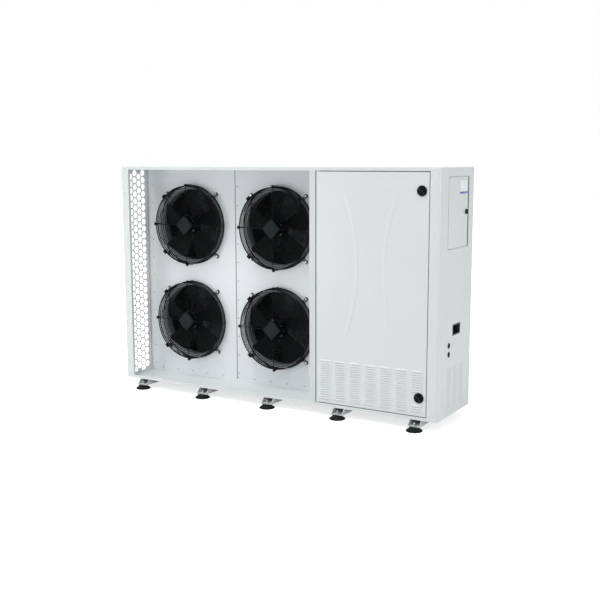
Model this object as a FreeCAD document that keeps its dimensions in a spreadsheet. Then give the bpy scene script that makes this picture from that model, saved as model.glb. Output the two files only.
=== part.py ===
import FreeCAD, Part
import math
import os
import Sketcher

# A four-fan air-cooled condensing unit in a sheet-steel casing.
# Frame: origin on the floor under the middle of the unit, +X to the right,
# +Y to the back, +Z up, in millimetres. The fans and the service door face -Y.

os.makedirs("parts", exist_ok=True)
doc = FreeCAD.newDocument("condenser")
Vector = FreeCAD.Vector

# Driving dimensions
SIZES = (
    ("casing_width", "2170"),
    ("casing_depth", "470"),
    ("casing_height", "1360"),
    ("sheet_gauge", "2"),
    ("lid_lip", "18"),
    ("base_lip", "18"),
    ("rear_return", "30"),
    ("post_width", "52"),
    ("post_return", "18"),
    ("corner_width", "60"),
    ("corner_radius", "16"),
    ("recess_depth", "245"),
    ("recess_width", "1379"),
    ("divider_width", "38"),
    ("running_gap", "0.3"),
    ("pin_clearance", "0.08"),
    ("pipe_clearance", "3"),
    ("hex_pitch", "45.2"),
    ("hex_flats", "38"),
    ("hex_first", "79"),
    ("hex_low", "29.9"),
    ("joint_shift", "11"),
    ("joint_flange", "20"),
    ("fan_left_place", "364"),
    ("fan_right_place", "361"),
    ("fan_high_drop", "369"),
    ("fan_low_place", "375"),
    ("fan_opening", "456"),
    ("impeller_width", "444"),
    ("rotor_width", "124"),
    ("rotor_depth", "78"),
    ("blade_count", "5"),
    ("blade_gauge", "4"),
    ("blade_forward", "8"),
    ("blade_root_chord", "84"),
    ("blade_tip_chord", "196"),
    ("blade_root_pitch", "40"),
    ("blade_twist", "19"),
    ("blade_sweep", "34"),
    ("blade_sink", "6"),
    ("guard_width", "512"),
    ("guard_depth", "68"),
    ("guard_wire", "5"),
    ("guard_sides", "16"),
    ("eyelet_width", "20"),
    ("bolt_circle", "554"),
    ("motor_shaft", "17"),
    ("motor_flange", "116"),
    ("motor_plate", "6"),
    ("shaft_length", "59.5"),
    ("bore_room", "2"),
    ("rotor_gap", "1.5"),
    ("terminal_side", "79"),
    ("terminal_depth", "20"),
    ("coil_depth", "66"),
    ("coil_behind", "16"),
    ("coil_end", "44"),
    ("coil_rise", "14"),
    ("header_room", "64"),
    ("tube_width", "9.5"),
    ("tube_step", "50"),
    ("coil_flange", "6"),
    ("fin_reach", "14"),
    ("fin_gauge", "2"),
    ("fin_spaces", "23"),
    ("header_step", "110"),
    ("header_feeders", "4"),
    ("header_width", "28"),
    ("header_inset", "36"),
    ("gas_header_low", "690"),
    ("liquid_header_high", "650"),
    ("door_gap", "5"),
    ("hinge_gap", "8"),
    ("door_depth", "18"),
    ("rebate_depth", "22"),
    ("frame_lap", "28"),
    ("door_lip", "26"),
    ("gasket_outer", "16"),
    ("gasket_inner", "24"),
    ("hinge_inset", "6.5"),
    ("hinge_behind", "6"),
    ("hinge_pin", "7"),
    ("hinge_plate", "2.6"),
    ("crease_apart", "164"),
    ("crease_ends", "324"),
    ("crease_width", "12"),
    ("crease_proud", "1"),
    ("crease_low", "403"),
    ("crease_drop", "106"),
    ("louvre_width", "64"),
    ("louvre_pitch", "95"),
    ("louvre_rise", "13.5"),
    ("louvre_slot", "5"),
    ("louvre_rows", "17"),
    ("louvre_low", "50"),
    ("louvre_inset", "27"),
    ("louvre_end", "18"),
    ("knob_rows_below", "3"),
    ("knob_rows_above", "9"),
    ("knob_width", "59"),
    ("knob_proud", "12"),
    ("knob_inset", "41"),
    ("knob_drop", "98"),
    ("knob_rise", "101"),
    ("grip_width", "12"),
    ("grip_length", "46"),
    ("grip_proud", "6"),
    ("spindle_width", "20"),
    ("cam_reach", "34"),
    ("cam_width", "16"),
    ("cam_gauge", "4"),
    ("hatch_front", "110"),
    ("hatch_back", "387"),
    ("hatch_tall", "380"),
    ("hatch_drop", "53"),
    ("hatch_gap", "4"),
    ("hatch_depth", "12"),
    ("hatch_knob", "28"),
    ("hatch_knob_proud", "10"),
    ("hatch_knob_inset", "27"),
    ("hatch_spindle", "12"),
    ("enclosure_depth", "150"),
    ("enclosure_margin", "12"),
    ("outlet_front", "204"),
    ("outlet_back", "303"),
    ("outlet_low", "449"),
    ("outlet_high", "502"),
    ("cable_front", "151"),
    ("cable_low", "348"),
    ("cable_high", "397"),
    ("cable_hole", "31"),
    ("cable_bore", "20"),
    ("rail_height", "33"),
    ("rail_width", "71"),
    ("rail_wall", "3"),
    ("rail_first", "143"),
    ("rail_last", "123"),
    ("rail_count", "5"),
    ("rail_reach", "27"),
    ("foot_height", "25"),
    ("foot_base", "92"),
    ("foot_top", "58"),
    ("foot_lip", "6"),
    ("foot_reach", "16"),
    ("nut_width", "25"),
    ("nut_height", "10"),
    ("screw_width", "10"),
    ("screw_high", "4"),
    ("screw_inset", "42"),
    ("lid_screw_left", "26"),
    ("lid_screw_right", "45"),
    ("post_screw_inset", "22"),
    ("panel_screw_inset", "16"),
    ("bolt_width", "15"),
    ("bolt_high", "6"),
    ("compressor_width", "220"),
    ("compressor_height", "500"),
    ("compressor_shift", "85.5"),
    ("compressor_base", "230"),
    ("base_gauge", "6"),
    ("grommet_height", "28"),
    ("grommet_width", "42"),
    ("receiver_width", "168"),
    ("receiver_height", "500"),
    ("receiver_place", "201"),
    ("receiver_behind", "144"),
    ("receiver_port_out", "36"),
    ("receiver_port_in", "22"),
    ("dome_height", "42"),
    ("vessel_sides", "20"),
    ("cover_half", "45"),
    ("cover_depth", "34"),
    ("cover_low", "300"),
    ("cover_tall", "100"),
    ("drier_width", "76"),
    ("drier_rise", "160"),
    ("drier_length", "190"),
    ("suction_width", "35"),
    ("gas_width", "22"),
    ("liquid_width", "16"),
    ("outlet_room", "8"),
    ("pipe_bend", "40"),
    ("pipe_sides", "8"),
    ("valve_length", "50"),
    ("valve_stub", "26"),
    ("valve_cap", "24"),
    ("valve_behind", "12"),
    ("valve_share", "0.75"),
    ("gas_rise", "1060"),
    ("liquid_rise", "600"),
    ("suction_drop", "220"),
    ("trim_wall", "2.5"),
    ("trim_flange", "4"),
    ("trim_proud", "1.5"),
    ("trim_depth", "24"),
    ("grommet_neck", "8"),
    ("foot_sides", "12"),
    ("hinge_float", "0.8"),
    ("hinge_side", "6"),
    ("hinge_pin_reach", "12"),
    ("hatch_pin", "6"),
    ("hatch_float", "0.9"),
    ("hatch_plate", "2.2"),
    ("hatch_lug", "6"),
    ("strike_lap", "6"),
    ("rail_stand", "7.5"),
    ("contactor_place", "40"),
    ("contactor_width", "55"),
    ("contactor_height", "90"),
    ("contactor_depth", "85"),
    ("controller_place", "102"),
    ("controller_width", "90"),
    ("controller_height", "110"),
    ("controller_depth", "60"),
    ("terminals_place", "200"),
    ("terminals_width", "70"),
    ("terminals_height", "60"),
    ("terminals_depth", "45"),
    ("mounting_rail_width", "35"),
    ("mounting_rail_inset", "30"),
    ("hatch_foot_gap", "2.4"),
)
sheet = doc.addObject("Spreadsheet::Sheet", "Sizes")
known = {}
for row, (alias, value) in enumerate(SIZES, start=1):
    sheet.set("A%d" % row, alias)
    sheet.set("B%d" % row, value)
    sheet.setAlias("B%d" % row, alias)
    known[alias] = "Sizes." + alias
doc.recompute()
values = {alias: float(sheet.get(alias)) for alias, _ in SIZES}


def number(text):
    """Value of a formula made of sums of products, as the bound expressions compute it."""
    total = 0.0
    sign = 1.0
    term = None
    operation = "*"
    for word in text.split():
        if word in ("+", "-"):
            if term is not None:
                total += sign * term
            sign = 1.0 if word == "+" else -1.0
            term = None
            operation = "*"
        elif word in ("*", "/"):
            operation = word
        else:
            factor = values[word] if word in values else float(word)
            if term is None:
                term = factor
            elif operation == "*":
                term *= factor
            else:
                term /= factor
    return total + sign * term


def link(text):
    """The same formula with every name pointing at its cell or its worked-out place."""
    return " ".join(known.get(word, word) for word in text.split())


# Places worked out from the driving dimensions
places = doc.addObject("App::VarSet", "Places")


def place(name, formula):
    places.addProperty("App::PropertyFloat", name)
    places.setExpression(name, link(formula))
    values[name] = number(formula)
    known[name] = "Places." + name


def whole(name, formula):
    """Worked-out count: the formula's value without its fraction."""
    places.addProperty("App::PropertyFloat", name)
    places.setExpression(name, "floor(" + link(formula) + ")")
    values[name] = math.floor(number(formula))
    known[name] = "Places." + name


place("latch_shift", "hatch_knob_proud + running_gap")
place("left", "- 0.5 * casing_width - 0.5 * latch_shift")
place("right", "left + casing_width")
place("front", "- 0.5 * casing_depth")
place("back", "0.5 * casing_depth")
place("bottom", "foot_height + rail_height")
place("top", "bottom + casing_height")
place("floor_top", "bottom + sheet_gauge")
place("lip_top", "bottom + base_lip")
place("lid_low", "top - lid_lip")
place("lid_under", "top - sheet_gauge")
place("inner_left", "left + 2 * sheet_gauge")
place("inner_right", "right - 2 * sheet_gauge")
place("inner_front", "front + 2 * sheet_gauge")
place("inner_back", "back - 2 * sheet_gauge")
place("post_edge", "left + post_width")
place("panel_face", "front + recess_depth")
place("panel_back", "panel_face + sheet_gauge")
place("divider", "left + recess_width")
place("bay_left", "divider + sheet_gauge")
place("strip_edge", "divider + divider_width")
place("column_edge", "right - corner_width")
place("rebate", "front + rebate_depth")
place("frame_back", "rebate + sheet_gauge")
place("door_left", "strip_edge + hinge_gap")
place("door_right", "column_edge - door_gap")
place("door_low", "lip_top + door_gap")
place("door_high", "lid_low - door_gap")
place("door_back", "front + door_depth")
place("gasket_thick", "rebate_depth - door_depth - running_gap")
place("hinge_x", "door_left + hinge_inset")
place("hinge_y", "front + hinge_behind")
place("knob_x", "door_right - knob_inset")
place("knob_up", "door_high - knob_drop")
place("knob_down", "door_low + knob_rise")
place("crease_high", "door_high - crease_drop")
place("louvre_room", "door_right - door_left - louvre_inset - louvre_end - louvre_width")
whole("louvre_columns", "louvre_room / louvre_pitch")
place("hex_column", "0.8660254 * hex_pitch")
place("hex_room", "casing_height - lid_lip - hex_low - 0.5 * hex_flats - 0.5 * hex_pitch")
whole("hex_rows", "hex_room / hex_pitch + 1")
place("fan_left", "left + fan_left_place")
place("fan_right", "divider - fan_right_place")
place("fan_high", "top - fan_high_drop")
place("fan_low", "bottom + fan_low_place")
place("joint", "0.5 * fan_left + 0.5 * fan_right + joint_shift")
place("guard_face", "panel_face - guard_depth")
place("hatch_y0", "front + hatch_front")
place("hatch_y1", "front + hatch_back")
place("hatch_z1", "top - hatch_drop")
place("hatch_z0", "hatch_z1 - hatch_tall")
place("hatch_in", "right - hatch_depth")
place("hatch_pin_x", "right - hinge_behind")
place("hatch_pin_y", "hatch_y0 + hinge_inset")
place("hatch_knob_y", "hatch_y1 - hatch_knob_inset")
place("hatch_knob_z", "0.5 * hatch_z0 + 0.5 * hatch_z1")
place("panel_in", "right - sheet_gauge")
place("box_back", "panel_in - enclosure_depth")
place("box_y0", "hatch_y0 - hatch_gap - enclosure_margin")
place("box_y1", "hatch_y1 + hatch_gap + enclosure_margin")
place("box_z0", "hatch_z0 - hatch_gap - enclosure_margin")
place("box_z1", "hatch_z1 + hatch_gap + enclosure_margin")
place("coil_back", "back - coil_behind")
place("coil_front", "coil_back - coil_depth")
place("coil_left", "left + coil_end")
place("coil_right", "divider - header_room")
place("coil_low", "floor_top + coil_rise")
place("coil_high", "lid_under - coil_rise")
place("header_x", "divider - 0.5 * header_room")
place("pipe_y", "coil_front + 0.5 * header_width + coil_flange")
place("gas_z", "bottom + gas_rise")
place("liquid_z", "bottom + liquid_rise")
place("compressor_x", "0.5 * divider + 0.5 * right - compressor_shift")
place("line_y", "front + outlet_front + 0.5 * suction_width + outlet_room")
place("drier_y", "front + outlet_back - 0.5 * liquid_width - outlet_room")
place("line_z", "bottom + 0.5 * outlet_low + 0.5 * outlet_high")
place("receiver_x", "right - receiver_place")
place("receiver_out", "receiver_x - receiver_port_out")
place("receiver_in", "receiver_x + receiver_port_in")
place("drier_z", "floor_top + receiver_height + drier_rise")
place("valve_x", "right - trim_depth - valve_behind - valve_stub - valve_length")
place("suction_turn", "compressor_x + 0.5 * compressor_width + 2 * pipe_bend")
place("suction_port", "line_z - suction_drop")
place("rail_low", "foot_height")
place("rail_floor", "rail_low + rail_wall")
place("foot_y0", "front - foot_reach")
place("foot_y1", "back + foot_reach")
place("rail_spaces", "rail_count - 1")
place("rail_pitch", "casing_width / rail_spaces - rail_first / rail_spaces - rail_last / rail_spaces")
place("fin_step", "coil_right / fin_spaces - coil_left / fin_spaces - fin_gauge / fin_spaces")

# Turns that bring +Z to each axis
TURNS = {
    "X": FreeCAD.Rotation(Vector(0, 1, 0), 90),
    "Y": FreeCAD.Rotation(Vector(1, 0, 0), -90),
    "Z": FreeCAD.Rotation(),
}
# Sides of the many-sided bodies, and shares that shape them
NUT_SIDES = 6
FEEDER_SIDES = 6
PLATE_SIDES = 8
MANIFOLD_SIDES = 12
ROUND_SIDES = 16
KNOB_SIDES = 20
HEX_COLUMNS = 4
GUARD_STRUTS = 8
BLADE_SHARES = (0.0, 0.35, 0.7, 1.0)
BLADE_COLUMNS = 3
BLADE_BOW = 0.07
BEND_CUT = 0.3
DOME_SHARE = 0.6
pieces = []
count = [0]


def name_for(kind):
    count[0] += 1
    return "%s%d" % (kind, count[0])


def bind(thing, formulas):
    for prop, formula in formulas.items():
        thing.setExpression(prop, link(formula))
    return thing


def keep(thing, label):
    """Names a finished piece and puts it on the list of files to write."""
    thing.Label = label
    pieces.append((label, thing))
    return thing


def box(x0, x1, y0, y1, z0, z1):
    """Block between two corners, each face at its own formula."""
    block = doc.addObject("Part::Box", name_for("Block"))
    return bind(block, {
        "Length": x1 + " - 1 * ( " + x0 + " )",
        "Width": y1 + " - 1 * ( " + y0 + " )",
        "Height": z1 + " - 1 * ( " + z0 + " )",
        "Placement.Base.x": x0,
        "Placement.Base.y": y0,
        "Placement.Base.z": z0,
    })


def rod(axis, x, y, z, width, length):
    """Round bar of a given width that starts at x, y, z and runs along an axis."""
    bar = doc.addObject("Part::Cylinder", name_for("Rod"))
    bar.Placement = FreeCAD.Placement(Vector(0, 0, 0), TURNS[axis])
    return bind(bar, {
        "Radius": "0.5 * " + width,
        "Height": length,
        "Placement.Base.x": x,
        "Placement.Base.y": y,
        "Placement.Base.z": z,
    })


def prism(sides, axis, x, y, z, width, length):
    """Many-sided bar, width over its corners, from x, y, z along an axis."""
    thing = doc.addObject("Part::Prism", name_for("Prism"))
    thing.Polygon = sides
    thing.Placement = FreeCAD.Placement(Vector(0, 0, 0), TURNS[axis])
    return bind(thing, {
        "Circumradius": "0.5 * " + width,
        "Height": length,
        "Placement.Base.x": x,
        "Placement.Base.y": y,
        "Placement.Base.z": z,
    })


def fuse(things):
    joined = doc.addObject("Part::MultiFuse", name_for("Joined"))
    joined.Shapes = things
    joined.Refine = True
    return joined


def cut(base, tool):
    rest = doc.addObject("Part::Cut", name_for("Rest"))
    rest.Base = base
    rest.Tool = tool
    rest.Refine = True
    return rest


def group(things):
    together = doc.addObject("Part::Compound", name_for("Set"))
    together.Links = things
    return together


def new_body(label):
    return keep(doc.addObject("PartDesign::Body", name_for("Body")), label)


def origin_item(body, role):
    return [item for item in body.Origin.OriginFeatures if item.Role == role][0]


def sketch_on(body, plane, offset):
    """Empty sketch on a plane of the body's own origin, moved along the plane's normal.

    XY looks up +Z, YZ looks along +X and XZ looks along -Y."""
    drawing = body.newObject("Sketcher::SketchObject", name_for("Sketch"))
    drawing.AttachmentSupport = [(origin_item(body, plane + "_Plane"), "")]
    drawing.MapMode = "FlatFace"
    drawing.setExpression("AttachmentOffset.Base.z", link(offset))
    return drawing


def pin_point(drawing, line, end, across, up):
    """Fixes one end of a line or one centre at a place given by two formulas."""
    for kind, formula in (("DistanceX", across), ("DistanceY", up)):
        value = number(formula)
        index = drawing.addConstraint(Sketcher.Constraint(kind, -1, 1, line, end, value))
        title = "%s%d_%d" % (kind, line, end)
        drawing.renameConstraint(index, title)
        drawing.setExpression("Constraints." + title, link(formula))


def outline(drawing, corners):
    """Closed straight-sided outline; each corner is a pair of formulas."""
    first = drawing.GeometryCount
    points = [Vector(number(across), number(up), 0) for across, up in corners]
    total = len(points)
    for i in range(total):
        drawing.addGeometry(Part.LineSegment(points[i], points[(i + 1) % total]))
    for i in range(total):
        nxt = first + (i + 1) % total
        drawing.addConstraint(Sketcher.Constraint("Coincident", first + i, 2, nxt, 1))
    for i, (across, up) in enumerate(corners):
        pin_point(drawing, first + i, 1, across, up)
    return drawing


def window(drawing, x0, x1, y0, y1):
    return outline(drawing, ((x0, y0), (x1, y0), (x1, y1), (x0, y1)))


def circle(drawing, across, up, width):
    index = drawing.GeometryCount
    centre = Vector(number(across), number(up), 0)
    drawing.addGeometry(Part.Circle(centre, Vector(0, 0, 1), 0.5 * number(width)))
    pin_point(drawing, index, 3, across, up)
    size = drawing.addConstraint(Sketcher.Constraint("Diameter", index, number(width)))
    title = "Width%d" % index
    drawing.renameConstraint(size, title)
    drawing.setExpression("Constraints." + title, link(width))
    return drawing


def pad(body, drawing, length):
    feature = body.newObject("PartDesign::Pad", name_for("Pad"))
    feature.Profile = drawing
    feature.setExpression("Length", link(length))
    drawing.Visibility = False
    doc.recompute()
    return feature


def pocket(body, drawing, length, along_normal=False):
    """Cuts against the sketch's normal, or along it; stops if nothing was cut."""
    before = body.Tip.Shape.Volume
    feature = body.newObject("PartDesign::Pocket", name_for("Pocket"))
    feature.Profile = drawing
    feature.Reversed = along_normal
    feature.setExpression("Length", link(length))
    drawing.Visibility = False
    doc.recompute()
    if feature.Shape.Volume >= before - 0.001:
        raise RuntimeError("%s cuts nothing from %s" % (feature.Name, body.Label))
    return feature


def repeat(body, feature, axis, step, copies, axis2=None, step2="1", copies2="1"):
    """Rows of copies of a feature along one or two of the body's own axes.

    A spacing of -1 in the second direction's list stands for its common step."""
    pattern = body.newObject("PartDesign::LinearPattern", name_for("Pattern"))
    pattern.Originals = [feature]
    pattern.Mode = "Spacing"
    pattern.Direction = (origin_item(body, axis + "_Axis"), [""])
    pattern.setExpression("Offset", link(step))
    pattern.setExpression("Occurrences", link(copies))
    if axis2:
        pattern.Mode2 = "Spacing"
        pattern.Direction2 = (origin_item(body, axis2 + "_Axis"), [""])
        pattern.setExpression("Offset2", link(step2))
        pattern.setExpression("Occurrences2", link(copies2))
        doc.recompute()
        pattern.Spacings2 = [-1.0] * (pattern.Occurrences2 - 1)
    body.Tip = pattern
    doc.recompute()
    return pattern


def upright_edges(shape, x, y):
    """Names of the vertical edges of a shape that stand at x, y."""
    found = []
    for index, edge in enumerate(shape.Edges, start=1):
        ends = [vertex.Point for vertex in edge.Vertexes]
        if len(ends) == 2 and all(abs(p.x - x) < 0.01 and abs(p.y - y) < 0.01 for p in ends):
            found.append("Edge%d" % index)
    return found


def round_edges(body, x, y, radius):
    base = body.Tip
    feature = body.newObject("PartDesign::Fillet", name_for("Fillet"))
    feature.Base = (base, upright_edges(base.Shape, number(x), number(y)))
    feature.setExpression("Radius", link(radius))
    doc.recompute()
    return feature


# Sheet-steel casing

def base_pan():
    """Floor tray; its lips fill the front and back between the side panels' returns."""
    body = new_body("base_pan")
    x0, x1 = "left + sheet_gauge", "right - sheet_gauge"
    y0, y1 = "front + sheet_gauge", "back - sheet_gauge"
    rear0, rear1 = "left + rear_return", "right - rear_return"
    drawing = outline(sketch_on(body, "XY", "bottom"), (
        (x0, y0), ("post_edge", y0), ("post_edge", "front"), ("column_edge", "front"),
        ("column_edge", y0), (x1, y0), (x1, y1), (rear1, y1), (rear1, "back"),
        (rear0, "back"), (rear0, y1), (x0, y1),
    ))
    pad(body, drawing, "base_lip")
    hollow = window(sketch_on(body, "XY", "lip_top"),
                    "inner_left", "inner_right", "inner_front", "inner_back")
    pocket(body, hollow, "base_lip - sheet_gauge")
    round_edges(body, "inner_right", "inner_front", "corner_radius - 2 * sheet_gauge")
    round_edges(body, x1, y0, "corner_radius - sheet_gauge")


def top_cover():
    body = new_body("top_cover")
    pad(body, window(sketch_on(body, "XY", "lid_low"), "left", "right", "front", "back"), "lid_lip")
    inner_x, inner_y = "right - sheet_gauge", "front + sheet_gauge"
    hollow = window(sketch_on(body, "XY", "lid_low"),
                    "left + sheet_gauge", inner_x, inner_y, "back - sheet_gauge")
    pocket(body, hollow, "lid_lip - sheet_gauge", along_normal=True)
    round_edges(body, inner_x, inner_y, "corner_radius - sheet_gauge")
    round_edges(body, "right", "front", "corner_radius")


def hexagon(drawing, across, up):
    """Hexagon with level top and bottom, its centre at the two formulas."""
    wide, half, tall = "0.57735 * hex_flats", "0.288675 * hex_flats", "0.5 * hex_flats"
    outline(drawing, (
        (across + " + " + wide, up),
        (across + " + " + half, up + " + " + tall),
        (across + " - " + half, up + " + " + tall),
        (across + " - " + wide, up),
        (across + " - " + half, up + " - " + tall),
        (across + " + " + half, up + " - " + tall),
    ))


def left_side_panel():
    """Side sheet with front and rear returns and a hexagonal grille beside the fans."""
    body = new_body("left_side_panel")
    inside = "left + sheet_gauge"
    drawing = outline(sketch_on(body, "XY", "bottom"), (
        ("left", "front"), ("post_edge", "front"), ("post_edge", "front + sheet_gauge"),
        (inside, "front + sheet_gauge"), (inside, "back - sheet_gauge"),
        ("left + rear_return", "back - sheet_gauge"), ("left + rear_return", "back"),
        ("left", "back"),
    ))
    pad(body, drawing, "casing_height - lid_lip")
    fold = window(sketch_on(body, "XY", "lip_top"), "post_edge - sheet_gauge", "post_edge",
                  "front + sheet_gauge", "front + post_return")
    pad(body, fold, "casing_height - lid_lip - base_lip")
    holes = sketch_on(body, "YZ", inside)
    for column in range(HEX_COLUMNS):
        across = "front + hex_first + %d * hex_column" % column
        hexagon(holes, across, "bottom + hex_low + %d * hex_pitch / 2" % (column % 2))
    first = pocket(body, holes, "sheet_gauge")
    repeat(body, first, "Z", "hex_pitch", "hex_rows")


def divider_wall():
    """Wall between the fan recess and the compressor bay, notched over the tray's lips."""
    body = new_body("divider_wall")
    drawing = outline(sketch_on(body, "YZ", "divider"), (
        ("inner_front", "floor_top"), ("inner_back", "floor_top"), ("inner_back", "lip_top"),
        ("back - sheet_gauge", "lip_top"), ("back - sheet_gauge", "lid_under"),
        ("front + sheet_gauge", "lid_under"), ("front + sheet_gauge", "lip_top"),
        ("inner_front", "lip_top"),
    ))
    circle(drawing, "pipe_y", "gas_z", "gas_width + 2 * pipe_clearance")
    circle(drawing, "pipe_y", "liquid_z", "liquid_width + 2 * pipe_clearance")
    pad(body, drawing, "sheet_gauge")


def divider_post():
    body = new_body("divider_post")
    fold = "bay_left + sheet_gauge"
    drawing = outline(sketch_on(body, "XY", "lip_top"), (
        ("divider", "front"), ("strip_edge", "front"), ("strip_edge", "rebate"),
        ("strip_edge - sheet_gauge", "rebate"), ("strip_edge - sheet_gauge", "front + sheet_gauge"),
        (fold, "front + sheet_gauge"), (fold, "front + post_return"),
        ("bay_left", "front + post_return"), ("bay_left", "front + sheet_gauge"),
        ("divider", "front + sheet_gauge"),
    ))
    pad(body, drawing, "casing_height - lid_lip - base_lip")


def slots(body, plane, offset, x0, width, z0, slot):
    """One level slot cut through a sheet, ready to be repeated."""
    drawing = window(sketch_on(body, plane, offset), x0, x0 + " + " + width,
                     z0, z0 + " + " + slot)
    return pocket(body, drawing, "sheet_gauge")


def right_side_panel():
    """Side sheet with a rounded front corner, a hatch opening and pipe and cable holes."""
    body = new_body("right_side_panel")
    drawing = outline(sketch_on(body, "XY", "bottom"), (
        ("column_edge", "front"), ("right", "front"), ("right", "back"),
        ("right - rear_return", "back"), ("right - rear_return", "back - sheet_gauge"),
        ("panel_in", "back - sheet_gauge"), ("panel_in", "front + sheet_gauge"),
        ("column_edge", "front + sheet_gauge"),
    ))
    pad(body, drawing, "casing_height - lid_lip")
    round_edges(body, "panel_in", "front + sheet_gauge", "corner_radius - sheet_gauge")
    round_edges(body, "right", "front", "corner_radius")
    fold = window(sketch_on(body, "XY", "lip_top"), "column_edge", "column_edge + sheet_gauge",
                  "front + sheet_gauge", "rebate")
    pad(body, fold, "casing_height - lid_lip - base_lip")
    holes = sketch_on(body, "YZ", "right")
    window(holes, "hatch_y0 - hatch_gap", "hatch_y1 + hatch_gap",
           "hatch_z0 - hatch_gap", "hatch_z1 + hatch_gap")
    window(holes, "front + outlet_front", "front + outlet_back",
           "bottom + outlet_low", "bottom + outlet_high")
    circle(holes, "front + cable_front", "bottom + cable_low", "cable_hole")
    circle(holes, "front + cable_front", "bottom + cable_high", "cable_hole")
    pocket(body, holes, "sheet_gauge")


def rear_bay_panel():
    body = new_body("rear_bay_panel")
    drawing = window(sketch_on(body, "XZ", "- 1 * back"), "divider", "right - rear_return",
                     "lip_top", "lid_low")
    pad(body, drawing, "sheet_gauge")


def inset(drawing, step):
    """Window as large as the door less an inset on every side."""
    window(drawing, "door_left + " + step, "door_right - " + step,
           "door_low + " + step, "door_high - " + step)


def door_frame():
    """Rebate frame that the service door closes against."""
    body = new_body("door_frame")
    drawing = window(sketch_on(body, "XZ", "- 1 * frame_back"), "strip_edge - sheet_gauge",
                     "column_edge + sheet_gauge", "floor_top", "lid_under")
    inset(drawing, "frame_lap")
    pad(body, drawing, "sheet_gauge")


def door_gasket():
    body = new_body("door_gasket")
    drawing = sketch_on(body, "XZ", "- 1 * rebate")
    inset(drawing, "gasket_outer")
    inset(drawing, "gasket_inner")
    pad(body, drawing, "gasket_thick")


def fan_panel(label, x0, x1, fan_x, fold0, fold1):
    """Half of the sheet that carries the fans, with a folded edge at the middle joint."""
    body = new_body(label)
    drawing = window(sketch_on(body, "XZ", "- 1 * panel_back"), x0, x1, "floor_top", "lid_under")
    circle(drawing, fan_x, "fan_high", "fan_opening")
    circle(drawing, fan_x, "fan_low", "fan_opening")
    pad(body, drawing, "sheet_gauge")
    fold = window(sketch_on(body, "XY", "floor_top"), fold0, fold1,
                  "panel_back", "panel_back + joint_flange")
    pad(body, fold, "casing_height - 2 * sheet_gauge")


# Fans

def ring(centre, radius, wire, sides):
    """Ring of square wire bent to a regular polygon, round an axis along Y."""
    def loop(flat):
        corners = []
        for k in range(sides + 1):
            angle = 2 * math.pi * (k + 0.5) / sides
            size = flat / math.cos(math.pi / sides)
            corners.append(centre + Vector(size * math.cos(angle), 0, size * math.sin(angle)))
        return Part.Face(Part.makePolygon(corners))
    tube = loop(radius + wire / 2).cut(loop(radius - wire / 2))
    return tube.extrude(Vector(0, wire, 0))


def bar(start, along, near, far, width, depth):
    """Straight bar on a ray from a point, width across the ray and depth along Y."""
    side = Vector(-along.z, 0, along.x) * (width / 2)
    low, high = start + along * near, start + along * far
    face = Part.Face(Part.makePolygon([low - side, low + side, high + side, high - side, low - side]))
    return face.extrude(Vector(0, depth, 0))


def fan_guard(label, fan_x, fan_z):
    """Wire basket: rings behind eight bent struts, with four lugs bolted to the panel."""
    wire = number("guard_wire")
    face, panel = number("guard_face"), number("panel_face")
    outer = number("0.5 * guard_width")
    hub = number("0.5 * motor_flange - guard_wire")
    sides = int(number("guard_sides"))
    middle = Vector(number(fan_x), 0, number(fan_z))
    front_point = middle + Vector(0, face, 0)
    back_point = middle + Vector(0, panel - wire, 0)
    shapes = [
        ring(back_point, outer, wire, sides),
        ring(front_point + Vector(0, wire, 0), outer, wire, sides),
        ring(front_point + Vector(0, wire, 0), (hub + outer) / 2, wire, sides),
    ]
    edge = outer + wire / 2
    for k in range(GUARD_STRUTS):
        angle = 2 * math.pi * k / GUARD_STRUTS
        along = Vector(math.cos(angle), 0, math.sin(angle))
        shapes.append(bar(front_point, along, hub, edge + wire, wire, wire))
        shapes.append(bar(front_point, along, edge, edge + wire, wire, panel - face))
        if k % 2:
            reach = number("0.5 * bolt_circle + 0.5 * eyelet_width")
            shapes.append(bar(back_point, along, edge, reach, number("eyelet_width"), wire))
    guard = doc.addObject("Part::Feature", label)
    guard.Shape = shapes[0].multiFuse(shapes[1:]).removeSplitter()
    return keep(guard, label)


def skin(points):
    """Flat triangles over a grid of points."""
    faces = []
    for row in range(len(points) - 1):
        for column in range(len(points[0]) - 1):
            a, b = points[row][column], points[row][column + 1]
            c, d = points[row + 1][column + 1], points[row + 1][column]
            faces.append(Part.Face(Part.makePolygon([a, b, c, a])))
            faces.append(Part.Face(Part.makePolygon([a, c, d, a])))
    return faces


def blade_row(share, y_mid, gauge):
    """Points across a blade, on one side of it, at a share of the way from root to tip."""
    root = number("0.5 * rotor_width - blade_sink")
    tip = number("0.5 * impeller_width")
    radius = root + share * (tip - root)
    chord = number("blade_root_chord") + share * number("blade_tip_chord - blade_root_chord")
    pitch = math.radians(number("blade_root_pitch") - share * number("blade_twist"))
    row = []
    for k in range(BLADE_COLUMNS + 1):
        chordwise = k / BLADE_COLUMNS
        along = (chordwise - 0.5) * chord
        bow = BLADE_BOW * chord * (1 - (2 * chordwise - 1) ** 2)
        across = along * math.cos(pitch) - bow * math.sin(pitch) - number("blade_sweep") * share
        depth = along * math.sin(pitch) + bow * math.cos(pitch)
        angle = across / radius
        row.append(Vector(radius * math.cos(angle), y_mid + depth + gauge, radius * math.sin(angle)))
    return row


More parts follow.
